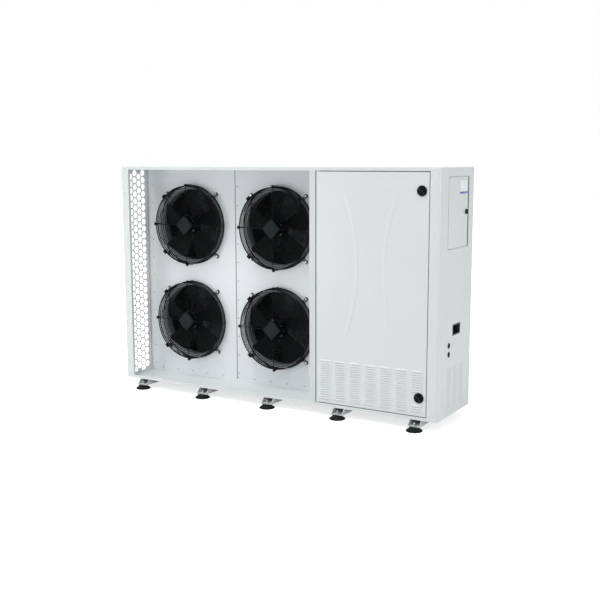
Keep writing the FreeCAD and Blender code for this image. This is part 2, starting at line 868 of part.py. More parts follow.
def blade_solid():
    """One twisted, cambered and swept blade about the Y axis."""
    y_mid = number("panel_face - blade_forward")
    half = number("0.5 * blade_gauge")
    upper = [blade_row(share, y_mid, half) for share in BLADE_SHARES]
    lower = [blade_row(share, y_mid, -half) for share in BLADE_SHARES]
    faces = skin(upper) + skin(lower)
    faces += skin([upper[0], lower[0]]) + skin([upper[-1], lower[-1]])
    for side in (0, -1):
        faces += skin([[row[side] for row in upper], [row[side] for row in lower]])
    shell = Part.makeShell(faces)
    shell.sewShape()
    solid = Part.makeSolid(shell)
    if solid.Volume < 0:
        solid.reverse()
    return solid


def round_bar(sides, width, y0, length):
    """Many-sided bar along Y, round the origin."""
    corners = []
    for k in range(sides + 1):
        angle = 2 * math.pi * (k + 0.5) / sides
        corners.append(Vector(width / 2 * math.cos(angle), y0, width / 2 * math.sin(angle)))
    return Part.Face(Part.makePolygon(corners)).extrude(Vector(0, length, 0))


def fan_impeller(label, fan_x, fan_z):
    """External rotor with swept blades moulded on; it turns on the motor's shaft."""
    rotor_front = number("guard_face + guard_wire + motor_plate + rotor_gap")
    rotor = round_bar(ROUND_SIDES, number("rotor_width"), rotor_front, number("rotor_depth"))
    blade = blade_solid()
    copies = int(number("blade_count"))
    blades = []
    for k in range(copies):
        turned = blade.copy()
        turned.rotate(Vector(0, 0, 0), Vector(0, 1, 0), 360.0 * k / copies)
        blades.append(turned)
    bore = Part.makeCylinder(number("0.5 * motor_shaft + pin_clearance"),
                             number("shaft_length + bore_room"),
                             Vector(0, number("guard_face + guard_wire + motor_plate"), 0),
                             Vector(0, 1, 0))
    impeller = doc.addObject("Part::Feature", label)
    impeller.Shape = rotor.multiFuse(blades).cut(bore)
    impeller.Placement = FreeCAD.Placement(Vector(number(fan_x), 0, number(fan_z)), FreeCAD.Rotation())
    return keep(impeller, label)


def fan_motor(label, fan_x, fan_z):
    """Fixed half of the motor: an eight-sided mounting plate behind the guard and the shaft."""
    plate_front = number("guard_face + guard_wire")
    plate = round_bar(PLATE_SIDES, number("motor_flange"), plate_front, number("motor_plate"))
    plate_back = plate_front + number("motor_plate")
    shaft = Part.makeCylinder(number("0.5 * motor_shaft"), number("shaft_length"),
                              Vector(0, plate_back, 0), Vector(0, 1, 0))
    motor = doc.addObject("Part::Feature", label)
    motor.Shape = Part.makeCompound([plate, shaft])
    motor.Placement = FreeCAD.Placement(Vector(number(fan_x), 0, number(fan_z)), FreeCAD.Rotation())
    return keep(motor, label)


def terminal_box(label, fan_x, fan_z):
    """Square box turned by an eighth of a turn on the front of the guard."""
    body = new_body(label)
    half = "0.70711 * terminal_side"
    drawing = outline(sketch_on(body, "XZ", "- 1 * guard_face"), (
        (fan_x + " + " + half, fan_z), (fan_x, fan_z + " + " + half),
        (fan_x + " - " + half, fan_z), (fan_x, fan_z + " - " + half),
    ))
    pad(body, drawing, "terminal_depth")


# Condenser coil

def coil():
    """Fin pack between two end plates; few of its many fins are drawn at full reach."""
    body = new_body("coil_fin_pack")
    core = window(sketch_on(body, "XY", "coil_low"), "coil_left", "coil_right",
                  "coil_front + fin_reach", "coil_back - fin_reach")
    pad(body, core, "coil_high - coil_low")
    first = window(sketch_on(body, "XY", "coil_low"), "coil_left", "coil_left + fin_gauge",
                   "coil_front", "coil_back")
    fin = pad(body, first, "coil_high - coil_low")
    repeat(body, fin, "X", "fin_step", "fin_spaces + 1")
    plates = []
    for x0, x1 in (("coil_left - sheet_gauge", "coil_left"),
                   ("coil_right", "coil_right + sheet_gauge")):
        plates.append(box(x0, x1, "coil_front - coil_flange", "coil_back + coil_flange",
                          "floor_top", "lid_under"))
    keep(group(plates), "coil_end_plates")


def return_bend(across, depth, up, step, width):
    """Hairpin end that joins two level tubes, one above the other, at the coil's left end."""
    half, corner = step / 2, BEND_CUT * step
    steps = ((0, 0), (corner, 0), (half, corner), (half, step - corner), (corner, step), (0, step))
    path = Part.makePolygon([Vector(across - out, depth, up + rise) for out, rise in steps])
    side = width / 2
    corners = ((-side, -side), (side, -side), (side, side), (-side, side), (-side, -side))
    square = Part.makePolygon([Vector(across, depth + y, up + z) for y, z in corners])
    return path.makePipeShell([square], True, False, 1)


def return_bends():
    """Hairpin tube ends down the coil's left end plate."""
    step = number("tube_step")
    low = number("coil_low + tube_step / 2")
    depth = number("0.5 * coil_front + 0.5 * coil_back")
    copies = int((number("coil_high - coil_low") - step) // (2 * step))
    start = number("coil_left - sheet_gauge")
    bends = [return_bend(start, depth, low + 2 * step * k, step, number("tube_width"))
             for k in range(copies)]
    tubes = doc.addObject("Part::Feature", "coil_return_bends")
    tubes.Shape = Part.makeCompound(bends)
    keep(tubes, "coil_return_bends")


def header(y, width, low, high):
    """Upright manifold with feeder tubes into the coil."""
    parts = [prism(MANIFOLD_SIDES, "Z", "header_x", y, low, width, high + " - 1 * ( " + low + " )")]
    for k in range(int(number("header_feeders"))):
        z = "%s + %d * header_step + 0.5 * header_step" % (low, k)
        parts.append(prism(FEEDER_SIDES, "X", "coil_right + sheet_gauge", y, z, "tube_width",
                           "header_x - coil_right - sheet_gauge"))
    return fuse(parts)


def coil_headers():
    """Hot gas manifold above and liquid manifold below, at the coil's right end."""
    keep(group([
        header("pipe_y", "header_width", "bottom + gas_header_low", "coil_high - header_inset"),
        header("pipe_y", "header_width", "coil_low + header_inset", "bottom + liquid_header_high"),
    ]), "coil_headers")


# Service door with its hinges and latches

def crease(drawing, side):
    """Shallow pressed crease of the door: a slim crescent bowed towards the door's middle."""
    middle = number("0.5 * door_left + 0.5 * door_right")
    low, high = number("bottom + crease_low"), number("crease_high")
    near = number("0.5 * crease_apart")
    far = number("0.5 * crease_ends")
    half = number("0.5 * crease_width")
    ends = [Vector(middle + side * far, low, 0), Vector(middle + side * far, high, 0)]
    for shift in (-half, half):
        bulge = Vector(middle + side * near + shift, (low + high) / 2, 0)
        drawing.addGeometry(Part.Arc(ends[0], bulge, ends[1]))


def door_slots(body, x0, z0, rows, columns):
    first = slots(body, "XZ", "- 1 * front", x0, "louvre_width", z0, "louvre_slot")
    repeat(body, first, "Z", "louvre_rise", rows, "X", "louvre_pitch", columns)


def service_door():
    """Folded door: face, edges and inward lips, louvres at the foot and two latch holes."""
    body = new_body("service_door")
    drawing = sketch_on(body, "XZ", "- 1 * door_back")
    inset(drawing, "0")
    pad(body, drawing, "door_depth")
    hollow = sketch_on(body, "XZ", "- 1 * door_back")
    inset(hollow, "sheet_gauge")
    pocket(body, hollow, "door_depth - sheet_gauge", along_normal=True)
    lips = sketch_on(body, "XZ", "- 1 * door_back")
    inset(lips, "0")
    inset(lips, "door_lip")
    pad(body, lips, "sheet_gauge")
    holes = sketch_on(body, "XZ", "- 1 * front")
    for z in ("knob_up", "knob_down"):
        circle(holes, "knob_x", z, "spindle_width + 2 * pin_clearance")
    pocket(body, holes, "sheet_gauge")
    for z, upward in (("door_high", False), ("door_low", True)):
        eye = circle(sketch_on(body, "XY", z), "hinge_x", "hinge_y", "hinge_pin + 2 * pin_clearance")
        pocket(body, eye, "sheet_gauge", along_normal=upward)
    for side in (-1, 1):
        mark = sketch_on(body, "XZ", "- 1 * front")
        crease(mark, side)
        pad(body, mark, "crease_proud")
    column = "door_left + louvre_inset"
    last = column + " + louvre_columns * louvre_pitch"
    low = "bottom + louvre_low"
    high = low + " + louvre_rows * louvre_rise - knob_rows_above * louvre_rise"
    door_slots(body, column, low, "louvre_rows", "louvre_columns")
    door_slots(body, last, low, "knob_rows_below", "1")
    door_slots(body, last, high, "knob_rows_above", "1")


def door_hinge(z, up):
    """Pivot plate on the rebate frame with a pin into the door's edge."""
    if up:
        near, far = z + " + hinge_float", z + " + hinge_float + hinge_plate"
        low, high, pin_low = near, far, z + " - hinge_pin_reach"
    else:
        near, far = z + " - hinge_float", z + " - hinge_float - hinge_plate"
        low, high, pin_low = far, near, near
    plate = box("hinge_x - hinge_side", "hinge_x + 2 * hinge_side", "front + sheet_gauge", "rebate",
                low, high)
    pin = rod("Z", "hinge_x", "hinge_y", pin_low, "hinge_pin", "hinge_pin_reach + hinge_float")
    return [plate, pin]


def door_hinges():
    keep(group(door_hinge("door_high", True) + door_hinge("door_low", False)), "door_hinges")


def door_latch(label, z):
    """Quarter-turn latch, drawn unlatched: knob and grip outside, cam behind the rebate frame."""
    face = "front - running_gap"
    cam0 = "frame_back + running_gap"
    knob = prism(KNOB_SIDES, "Y", "knob_x", face + " - knob_proud + grip_proud", z, "knob_width",
                 "knob_proud - grip_proud")
    grip = box("knob_x - 0.5 * grip_length", "knob_x + 0.5 * grip_length",
               face + " - knob_proud", face + " - knob_proud + grip_proud",
               z + " - 0.5 * grip_width", z + " + 0.5 * grip_width")
    spindle = rod("Y", "knob_x", face, z, "spindle_width", "rebate_depth + sheet_gauge + 2 * running_gap")
    cam = box("knob_x - 0.5 * cam_width", "knob_x + 0.5 * cam_width",
              cam0, cam0 + " + cam_gauge", z + " - cam_reach", z + " + 0.5 * cam_width")
    return keep(group([knob, grip, spindle, cam]), label)


# Electrical hatch in the right side

def hatch_window(drawing, step):
    window(drawing, "hatch_y0 + " + step, "hatch_y1 - " + step,
           "hatch_z0 + " + step, "hatch_z1 - " + step)


def electrical_hatch():
    body = new_body("electrical_hatch")
    drawing = sketch_on(body, "YZ", "hatch_in")
    hatch_window(drawing, "0")
    pad(body, drawing, "hatch_depth")
    hollow = sketch_on(body, "YZ", "hatch_in")
    hatch_window(hollow, "sheet_gauge")
    pocket(body, hollow, "hatch_depth - sheet_gauge", along_normal=True)
    hole = circle(sketch_on(body, "YZ", "right"), "hatch_knob_y", "hatch_knob_z",
                  "hatch_spindle + 2 * pin_clearance")
    pocket(body, hole, "sheet_gauge")
    for z, upward in (("hatch_z1", False), ("hatch_z0", True)):
        eye = circle(sketch_on(body, "XY", z), "hatch_pin_x", "hatch_pin_y",
                     "hatch_pin + 2 * pin_clearance")
        pocket(body, eye, "sheet_gauge", along_normal=upward)


def hatch_hinges():
    """Two pivot lugs hung from the enclosure's top and bottom walls."""
    lugs = []
    for z, sign, wall in (("hatch_z1", "+", "box_z1 - sheet_gauge"),
                          ("hatch_z0", "-", "box_z0 + sheet_gauge")):
        near = "%s %s hatch_float" % (z, sign)
        far = "%s %s hatch_float %s hatch_plate" % (z, sign, sign)
        low, high = (near, far) if sign == "+" else (far, near)
        foot0, foot1 = (high, wall) if sign == "+" else (wall, low)
        pin0 = z + " - hinge_pin_reach" if sign == "+" else high
        plate = box("hatch_in - hatch_lug", "right - sheet_gauge", "hatch_pin_y - hinge_side",
                    "hatch_pin_y + 2 * hinge_side", low, high)
        foot = box("hatch_in - hatch_lug", "hatch_in - hatch_foot_gap", "hatch_pin_y - hinge_side",
                   "hatch_pin_y + 2 * hinge_side", foot0, foot1)
        pin = rod("Z", "hatch_pin_x", "hatch_pin_y", pin0, "hatch_pin", "hinge_pin_reach + hatch_float")
        lugs.extend([plate, foot, pin])
    keep(group(lugs), "hatch_hinges")


def hatch_latch():
    """Small quarter-turn latch of the hatch, drawn unlatched."""
    cam1 = "hatch_in - 2 * running_gap - sheet_gauge"
    knob = prism(ROUND_SIDES, "X", "right + running_gap", "hatch_knob_y", "hatch_knob_z", "hatch_knob",
                 "hatch_knob_proud")
    spindle = rod("X", cam1, "hatch_knob_y", "hatch_knob_z", "hatch_spindle",
                  "hatch_depth + sheet_gauge + 3 * running_gap")
    cam = box(cam1 + " - cam_gauge", cam1, "hatch_knob_y - 0.5 * cam_width",
              "hatch_knob_y + 0.5 * cam_width", "hatch_knob_z - cam_reach",
              "hatch_knob_z + 0.5 * cam_width")
    keep(group([knob, spindle, cam]), "hatch_latch")


def electrical_enclosure():
    """Sheet box behind the hatch, with the strike that the hatch's cam turns behind."""
    body = new_body("electrical_enclosure")
    drawing = window(sketch_on(body, "YZ", "box_back"), "box_y0", "box_y1", "box_z0", "box_z1")
    pad(body, drawing, "enclosure_depth")
    hollow = window(sketch_on(body, "YZ", "panel_in"), "box_y0 + sheet_gauge",
                    "box_y1 - sheet_gauge", "box_z0 + sheet_gauge", "box_z1 - sheet_gauge")
    pocket(body, hollow, "enclosure_depth - sheet_gauge")
    strike = window(sketch_on(body, "YZ", "hatch_in - running_gap - sheet_gauge"),
                    "hatch_y1 - strike_lap", "box_y1 - sheet_gauge",
                    "hatch_knob_z - cam_reach", "hatch_knob_z + cam_reach")
    pad(body, strike, "sheet_gauge")


def electrical_parts():
    """Mounting rail on the enclosure's back wall and what clips on to it."""
    wall = "box_back + sheet_gauge"
    middle = "0.5 * box_z0 + 0.5 * box_z1"
    half = "0.5 * mounting_rail_width"
    keep(box(wall, wall + " + rail_stand", "box_y0 + mounting_rail_inset",
             "box_y1 - mounting_rail_inset", middle + " - " + half, middle + " + " + half),
         "mounting_rail")
    face = wall + " + rail_stand"
    for label, unit in (("contactor", "contactor"), ("fan_speed_controller", "controller"),
                        ("terminal_block", "terminals")):
        y0 = "box_y0 + %s_place" % unit
        rise = "0.5 * %s_height" % unit
        keep(box(face, "%s + %s_depth" % (face, unit), y0, "%s + %s_width" % (y0, unit),
                 middle + " - " + rise, middle + " + " + rise), label)


# Refrigeration circuit in the compressor bay

def turned(at, levels, sides):
    """Many-sided body round an upright axis, through rings of a given height and flat radius."""
    loops = []
    for height, flat in levels:
        radius = flat / math.cos(math.pi / sides)
        angles = [2 * math.pi * (k + 0.5) / sides for k in range(sides)]
        loops.append([at + Vector(radius * math.cos(a), radius * math.sin(a), height) for a in angles])
    faces = []
    for end in (loops[0], loops[-1]):
        faces.append(Part.Face(Part.makePolygon(end + end[:1])))
    for low, high in zip(loops, loops[1:]):
        for k in range(sides):
            after = (k + 1) % sides
            corners = [low[k], low[after], high[after], high[k], low[k]]
            faces.append(Part.Face(Part.makePolygon(corners)))
    shell = Part.makeShell(faces)
    shell.sewShape()
    solid = Part.makeSolid(shell)
    if solid.Volume < 0:
        solid.reverse()
    return solid


def vessel(label, x, y, z, width, height):
    """Upright vessel with domed ends."""
    radius, tall, dome = number("0.5 * " + width), number(height), number("dome_height")
    small = DOME_SHARE * radius
    levels = ((0, small), (dome, radius), (tall - dome, radius), (tall, small))
    thing = doc.addObject("Part::Feature", label)
    thing.Shape = turned(Vector(number(x), number(y), number(z)), levels, int(number("vessel_sides")))
    return keep(thing, label)


def compressor():
    base = "floor_top + grommet_height"
    vessel("compressor", "compressor_x", "line_y", base + " + base_gauge", "compressor_width",
           "compressor_height - base_gauge")
    half = "0.5 * compressor_base"
    mounts = [box("compressor_x - " + half, "compressor_x + " + half, "line_y - " + half,
                  "line_y + " + half, base, base + " + base_gauge")]
    for x_sign in ("-", "+"):
        for y_sign in ("-", "+"):
            x = "compressor_x %s 0.5 * compressor_base %s 0.5 * grommet_width" % (
                x_sign, "+" if x_sign == "-" else "-")
            y = "line_y %s 0.5 * compressor_base %s 0.5 * grommet_width" % (
                y_sign, "+" if y_sign == "-" else "-")
            mounts.append(prism(MANIFOLD_SIDES, "Z", x, y, "floor_top", "grommet_width",
                                "grommet_height"))
    keep(group(mounts), "compressor_mounts")
    side = "line_y - 0.5 * compressor_width"
    keep(box("compressor_x - cover_half", "compressor_x + cover_half", side + " - cover_depth", side,
             base + " + cover_low", base + " + cover_low + cover_tall"), "compressor_terminal_cover")


def pipe(label, points, width, bend):
    """Tube through corner points, with each corner cut across twice instead of sharp."""
    corners = [Vector(*[number(value) for value in point]) for point in points]
    radius = number(bend)
    route = [corners[0]]
    for before, corner, after in zip(corners, corners[1:], corners[2:]):
        into = (corner - before).normalize()
        out = (after - corner).normalize()
        route.append(corner - into * radius)
        route.append(corner - into * (BEND_CUT * radius) + out * (BEND_CUT * radius))
        route.append(corner + out * radius)
    route.append(corners[-1])
    sides = int(number("pipe_sides"))
    along = (corners[1] - corners[0]).normalize()
    across = Vector(0, 1, 0) if abs(along.y) < 0.5 else Vector(1, 0, 0)
    other = along.cross(across)
    size = number("0.5 * " + width)
    rim = []
    for k in range(sides + 1):
        angle = 2 * math.pi * k / sides
        rim.append(corners[0] + across * (size * math.cos(angle)) + other * (size * math.sin(angle)))
    tube = doc.addObject("Part::Feature", label)
    tube.Shape = Part.makePolygon(route).makePipeShell([Part.makePolygon(rim)], True, False, 1)
    return keep(tube, label)


def pipework():
    bend = "pipe_bend"
    base = "floor_top + grommet_height"
    pipe("discharge_pipe", (
        ("compressor_x", "line_y", base + " + compressor_height"),
        ("compressor_x", "line_y", "gas_z"),
        ("bay_left + 2 * pipe_bend", "line_y", "gas_z"),
        ("bay_left + 2 * pipe_bend", "pipe_y", "gas_z"),
        ("header_x + 0.5 * header_width", "pipe_y", "gas_z"),
    ), "gas_width", bend)
    pipe("condensate_pipe", (
        ("header_x + 0.5 * header_width", "pipe_y", "liquid_z"),
        ("receiver_in", "pipe_y", "liquid_z"),
        ("receiver_in", "pipe_y", "floor_top + receiver_height"),
    ), "liquid_width", bend)
    pipe("liquid_pipe", (
        ("receiver_out", "receiver_behind", "drier_z + drier_length"),
        ("receiver_out", "receiver_behind", "drier_z + drier_length + 2 * pipe_bend"),
        ("receiver_out", "drier_y", "drier_z + drier_length + 2 * pipe_bend"),
        ("receiver_out", "drier_y", "line_z"),
        ("valve_x", "drier_y", "line_z"),
    ), "liquid_width", bend)
    pipe("suction_pipe", (
        ("valve_x", "line_y", "line_z"),
        ("suction_turn", "line_y", "line_z"),
        ("suction_turn", "line_y", "suction_port"),
        ("compressor_x + 0.5 * compressor_width", "line_y", "suction_port"),
    ), "suction_width", bend)


def valve(y, width):
    """Shut-off valve on the end of a line, with a capped spindle and an outlet stub."""
    half = "valve_share * " + width
    block = box("valve_x", "valve_x + valve_length", y + " - " + half, y + " + " + half,
                "line_z - " + half, "line_z + " + half)
    cap = prism(NUT_SIDES, "Z", "valve_x + 0.5 * valve_length", y, "line_z + " + half, width,
                "valve_cap")
    stub = rod("X", "valve_x + valve_length", y, "line_z", width, "valve_stub")
    return [block, cap, stub]


def refrigeration():
    vessel("liquid_receiver", "receiver_x", "receiver_behind", "floor_top", "receiver_width",
           "receiver_height")
    drier = prism(ROUND_SIDES, "Z", "receiver_out", "receiver_behind", "drier_z", "drier_width",
                  "drier_length")
    stem = prism(int(number("pipe_sides")), "Z", "receiver_out", "receiver_behind",
                 "floor_top + receiver_height", "liquid_width",
                 "drier_z - floor_top - receiver_height")
    keep(group([drier, stem]), "filter_drier")
    keep(group(valve("line_y", "suction_width") + valve("drier_y", "liquid_width")),
         "service_valves")
    pipework()


# Small pieces of the side panel

def outlet_trim():
    """Plastic sleeve in the rectangular pipe outlet."""
    body = new_body("pipe_outlet_trim")
    y0, y1 = "front + outlet_front", "front + outlet_back"
    z0, z1 = "bottom + outlet_low", "bottom + outlet_high"
    wall = "trim_wall"
    flange = sketch_on(body, "YZ", "right")
    window(flange, y0 + " - trim_flange", y1 + " + trim_flange", z0 + " - trim_flange",
           z1 + " + trim_flange")
    window(flange, y0 + " + " + wall, y1 + " - " + wall, z0 + " + " + wall, z1 + " - " + wall)
    pad(body, flange, "trim_proud")
    sleeve = sketch_on(body, "YZ", "right - trim_depth")
    window(sleeve, y0, y1, z0, z1)
    window(sleeve, y0 + " + " + wall, y1 + " - " + wall, z0 + " + " + wall, z1 + " - " + wall)
    pad(body, sleeve, "trim_depth")


def cable_grommets():
    """Rubber bushes in the two cable holes."""
    bushes = []
    for z in ("bottom + cable_low", "bottom + cable_high"):
        flange = prism(ROUND_SIDES, "X", "right", "front + cable_front", z,
                       "cable_hole + 2 * trim_flange", "trim_proud")
        neck = prism(ROUND_SIDES, "X", "right - grommet_neck", "front + cable_front", z,
                     "cable_hole", "grommet_neck")
        hole = rod("X", "right - grommet_neck", "front + cable_front", z, "cable_bore",
                   "grommet_neck + trim_proud")
        bushes.append(cut(fuse([flange, neck]), hole))
    keep(group(bushes), "cable_grommets")


# Rails and feet under the casing

def cross_rails():
    """Channels under the casing, open end forwards, with ends sloped out to the feet."""
    body = new_body("cross_rails")
    x0, x1 = "left + rail_first - 0.5 * rail_width", "left + rail_first + 0.5 * rail_width"
    drawing = outline(sketch_on(body, "XZ", "- 1 * back - rail_reach"), (
        (x0, "rail_low"), (x1, "rail_low"), (x1, "bottom"), (x1 + " - rail_wall", "bottom"),
        (x1 + " - rail_wall", "rail_floor"), (x0 + " + rail_wall", "rail_floor"),
        (x0 + " + rail_wall", "bottom"), (x0, "bottom"),
    ))
    body.AllowCompound = True
    channel = pad(body, drawing, "casing_depth + 2 * rail_reach")
    slope = sketch_on(body, "YZ", x1)
    for y, sign in (("front", "-"), ("back", "+")):
        reach = "%s %s rail_reach" % (y, sign)
        outline(slope, ((y, "bottom"), (reach, "bottom"), (reach, "rail_floor")))
    ends = pocket(body, slope, "rail_width")
    pattern = repeat(body, channel, "X", "rail_pitch", "rail_count")
    pattern.Originals = [channel, ends]
    doc.recompute()


def rubber_feet():
    """Flared feet: a lip that rests on the floor and a cone up to the rail."""
    wide, slim = number("0.5 * foot_base"), number("0.5 * foot_top")
    levels = ((0, wide), (number("foot_lip"), wide), (number("foot_height"), slim))
    feet = []
    for k in range(int(number("rail_count"))):
        for y in ("foot_y0", "foot_y1"):
            at = Vector(number("left + rail_first + %d * rail_pitch" % k), number(y), 0)
            feet.append(turned(at, levels, int(number("foot_sides"))))
    rubber = doc.addObject("Part::Feature", "rubber_feet")
    rubber.Shape = Part.makeCompound(feet)
    keep(rubber, "rubber_feet")


def foot_nuts():
    """Nuts on the feet's studs, inside the rails."""
    nuts = []
    for k in range(int(number("rail_count"))):
        for y in ("foot_y0", "foot_y1"):
            x = "left + rail_first + %d * rail_pitch" % k
            nuts.append(prism(NUT_SIDES, "Z", x, y, "rail_floor", "nut_width", "nut_height"))
    keep(group(nuts), "foot_nuts")


def guard_bolts():
    """Bolt heads on the four eyelets of each fan guard."""
    reach = "0.353553 * bolt_circle"
    heads = []
    for fan_x in ("fan_left", "fan_right"):
        for fan_z in ("fan_low", "fan_high"):
            for side in ("-", "+"):
                for rise in ("-", "+"):
                    x = "%s %s %s" % (fan_x, side, reach)
                    z = "%s %s %s" % (fan_z, rise, reach)
                    heads.append(prism(NUT_SIDES, "Y", x, "panel_face - guard_wire - bolt_high", z,
                                       "bolt_width", "bolt_high"))
    keep(group(heads), "guard_bolts")


def panel_screws():
    """Screw heads along the lid's front lip and down the edges of the fan panels."""
    heads = []
    for x in ("left + lid_screw_left", "joint", "0.5 * divider + 0.5 * strip_edge",
              "right - lid_screw_right"):
        heads.append(prism(NUT_SIDES, "Y", x, "front - screw_high", "top - 0.5 * lid_lip",
                           "screw_width", "screw_high"))
    for x in ("post_edge + post_screw_inset", "joint - panel_screw_inset",
              "joint + panel_screw_inset", "divider - panel_screw_inset"):
        for z in ("lip_top + screw_inset", "0.5 * lip_top + 0.5 * lid_low", "lid_low - screw_inset"):
            heads.append(prism(NUT_SIDES, "Y", x, "panel_face - screw_high", z,
                               "screw_width", "screw_high"))
    keep(group(heads), "panel_screws")


def build():
    base_pan()
    top_cover()
    left_side_panel()
    divider_wall()
    divider_post()
    right_side_panel()
    rear_bay_panel()
    door_frame()
    door_gasket()
    fan_panel("fan_panel_left", "inner_left", "joint", "fan_left", "joint - sheet_gauge", "joint")
    fan_panel("fan_panel_right", "joint", "divider", "fan_right", "joint", "joint + sheet_gauge")
    for name, fan_x, fan_z in (
        ("upper_left", "fan_left", "fan_high"),
        ("upper_right", "fan_right", "fan_high"),
        ("lower_left", "fan_left", "fan_low"),
        ("lower_right", "fan_right", "fan_low"),
    ):
        fan_guard("fan_guard_" + name, fan_x, fan_z)
        fan_motor("fan_motor_" + name, fan_x, fan_z)
        terminal_box("terminal_box_" + name, fan_x, fan_z)
        fan_impeller("fan_impeller_" + name, fan_x, fan_z)
    coil()
    return_bends()
    coil_headers()
    service_door()
    door_hinges()
    door_latch("door_latch_upper", "knob_up")
    door_latch("door_latch_lower", "knob_down")
    electrical_hatch()
    hatch_hinges()
    hatch_latch()
    electrical_enclosure()
    electrical_parts()
    compressor()
    refrigeration()
    outlet_trim()
    cable_grommets()
    cross_rails()
    rubber_feet()
    foot_nuts()
    guard_bolts()
    panel_screws()


def check_and_write():
    """Stops on any failed object, then writes one file for each piece."""
    doc.recompute()
    for thing in doc.Objects:
        if "Invalid" in thing.State or "Error" in thing.State:
            raise RuntimeError("%s failed: %s" % (thing.Name, thing.State))
    for label, thing in pieces:
        shape = thing.Shape
        if shape.isNull() or not shape.isValid() or not shape.Solids:
            raise RuntimeError(label + " has no valid solid")
    for label, thing in pieces:
        thing.Shape.exportStep(os.path.join("parts", label + ".step"))
    print(len(pieces), "pieces written")


build()
check_and_write()
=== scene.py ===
from math import cos, pi, radians, sin, sqrt

import bmesh
import bpy
from mathutils import Matrix, Vector

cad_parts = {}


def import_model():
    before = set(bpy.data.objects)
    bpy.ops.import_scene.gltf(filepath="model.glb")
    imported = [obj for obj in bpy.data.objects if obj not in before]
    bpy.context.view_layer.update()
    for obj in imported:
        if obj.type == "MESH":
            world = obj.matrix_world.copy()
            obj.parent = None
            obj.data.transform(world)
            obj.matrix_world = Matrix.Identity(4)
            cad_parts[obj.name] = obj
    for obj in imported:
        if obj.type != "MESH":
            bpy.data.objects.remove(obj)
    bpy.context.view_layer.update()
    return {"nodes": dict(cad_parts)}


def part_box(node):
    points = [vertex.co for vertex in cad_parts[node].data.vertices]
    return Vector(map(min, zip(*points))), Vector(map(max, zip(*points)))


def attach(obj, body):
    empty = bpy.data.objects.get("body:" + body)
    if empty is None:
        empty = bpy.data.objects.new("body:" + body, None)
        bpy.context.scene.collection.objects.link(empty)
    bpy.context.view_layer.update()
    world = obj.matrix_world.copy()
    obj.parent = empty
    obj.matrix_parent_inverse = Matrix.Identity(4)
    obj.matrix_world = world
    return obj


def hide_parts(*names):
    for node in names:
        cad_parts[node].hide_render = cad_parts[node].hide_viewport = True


# Looks of a four-fan air-cooled condensing unit, in metres.
# +X is to the right along the front, -Y is the front, +Z is up.

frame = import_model()

X, Y, Z = Vector((1, 0, 0)), Vector((0, 1, 0)), Vector((0, 0, 1))
FANS = ("upper_left", "upper_right", "lower_left", "lower_right")

# Places read from the frame
side_low, side_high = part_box("left_side_panel")
LEFT = side_low.x
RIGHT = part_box("right_side_panel")[1].x
FRONT = side_low.y
BACK = side_high.y
BOTTOM = side_low.z
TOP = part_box("top_cover")[1].z
PANEL_FACE, JOINT_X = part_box("fan_panel_left")[0].y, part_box("fan_panel_left")[1].x
DIVIDER_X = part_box("fan_panel_right")[1].x
LIP_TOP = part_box("divider_post")[0].z
GUARD_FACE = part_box("terminal_box_upper_left")[1].y

# Sizes of a fan's guard and opening, and a terminal box's size as a share of its node's
GUARD_RADIUS = 0.250
FACE_RADIUS = 0.246
INNER_RING = 0.067
STRUT_START = 0.05
STRUT_RADIUS = 0.2565
STRUT_BEND = 0.008
PAIR_SHIFT = 0.006
WIRE = 0.0022
RIM_WIRE = 0.0032
EYELET_WIRE = 0.0027
BOLT_RADIUS = 0.277
BOX_SHARE = 1.12
APERTURE = 0.228
NOZZLE_DEPTH = 0.052
FLANGE_RADIUS = 0.2445

# Sizes of an impeller
ROTOR_RADIUS = 0.062
BLADE_ROOT = ROTOR_RADIUS - 0.006
TIP_RADIUS = 0.222
BLADES = 5
BLADE_START = radians(27)
ROOT_CHORD, TIP_CHORD = 0.05, 0.166
ROOT_PITCH, TIP_PITCH = radians(40), radians(21)
BLADE_BOW = 0.07
BLADE_SWEEP = 0.034
BLADE_SETBACK = 0.008

# Sizes that several pieces share
LOUVRE_ROWS, LOUVRE_RISE = 17, 0.0135
FEET, FOOT_START, FOOT_PITCH = 5, 0.143, 0.476
STANDOFF = 0.0002
LINE_RADIUS = 0.00475
DISCHARGE_RADIUS = 0.011
SUCTION_RADIUS = 0.0175
LIQUID_RADIUS = 0.008
COPPER_BEND = 0.036
SHARP_EDGE = radians(38)


def srgb(red, green, blue):
    """Linear colour of an 8-bit screen colour."""
    linear = []
    for value in (red, green, blue):
        share = value / 255
        linear.append(share / 12.92 if share < 0.04045 else ((share + 0.055) / 1.055) ** 2.4)
    return (*linear, 1.0)


# Materials

def fill(node, **inputs):
    """Sets some of a node's inputs; an underscore stands for a blank in a name."""
    for name, value in inputs.items():
        node.inputs[name.replace("_", " ")].default_value = value
    return node


def map_range(tree, value, low, high, near=0.0, far=1.0):
    """Takes a value from near..far to low..high; low may be another node's output."""
    made = fill(tree.nodes.new("ShaderNodeMapRange"), From_Min=near, From_Max=far, To_Max=high)
    if isinstance(low, float):
        fill(made, To_Min=low)
    else:
        tree.links.new(low, made.inputs["To Min"])
    tree.links.new(value, made.inputs["Value"])
    return made.outputs["Result"]


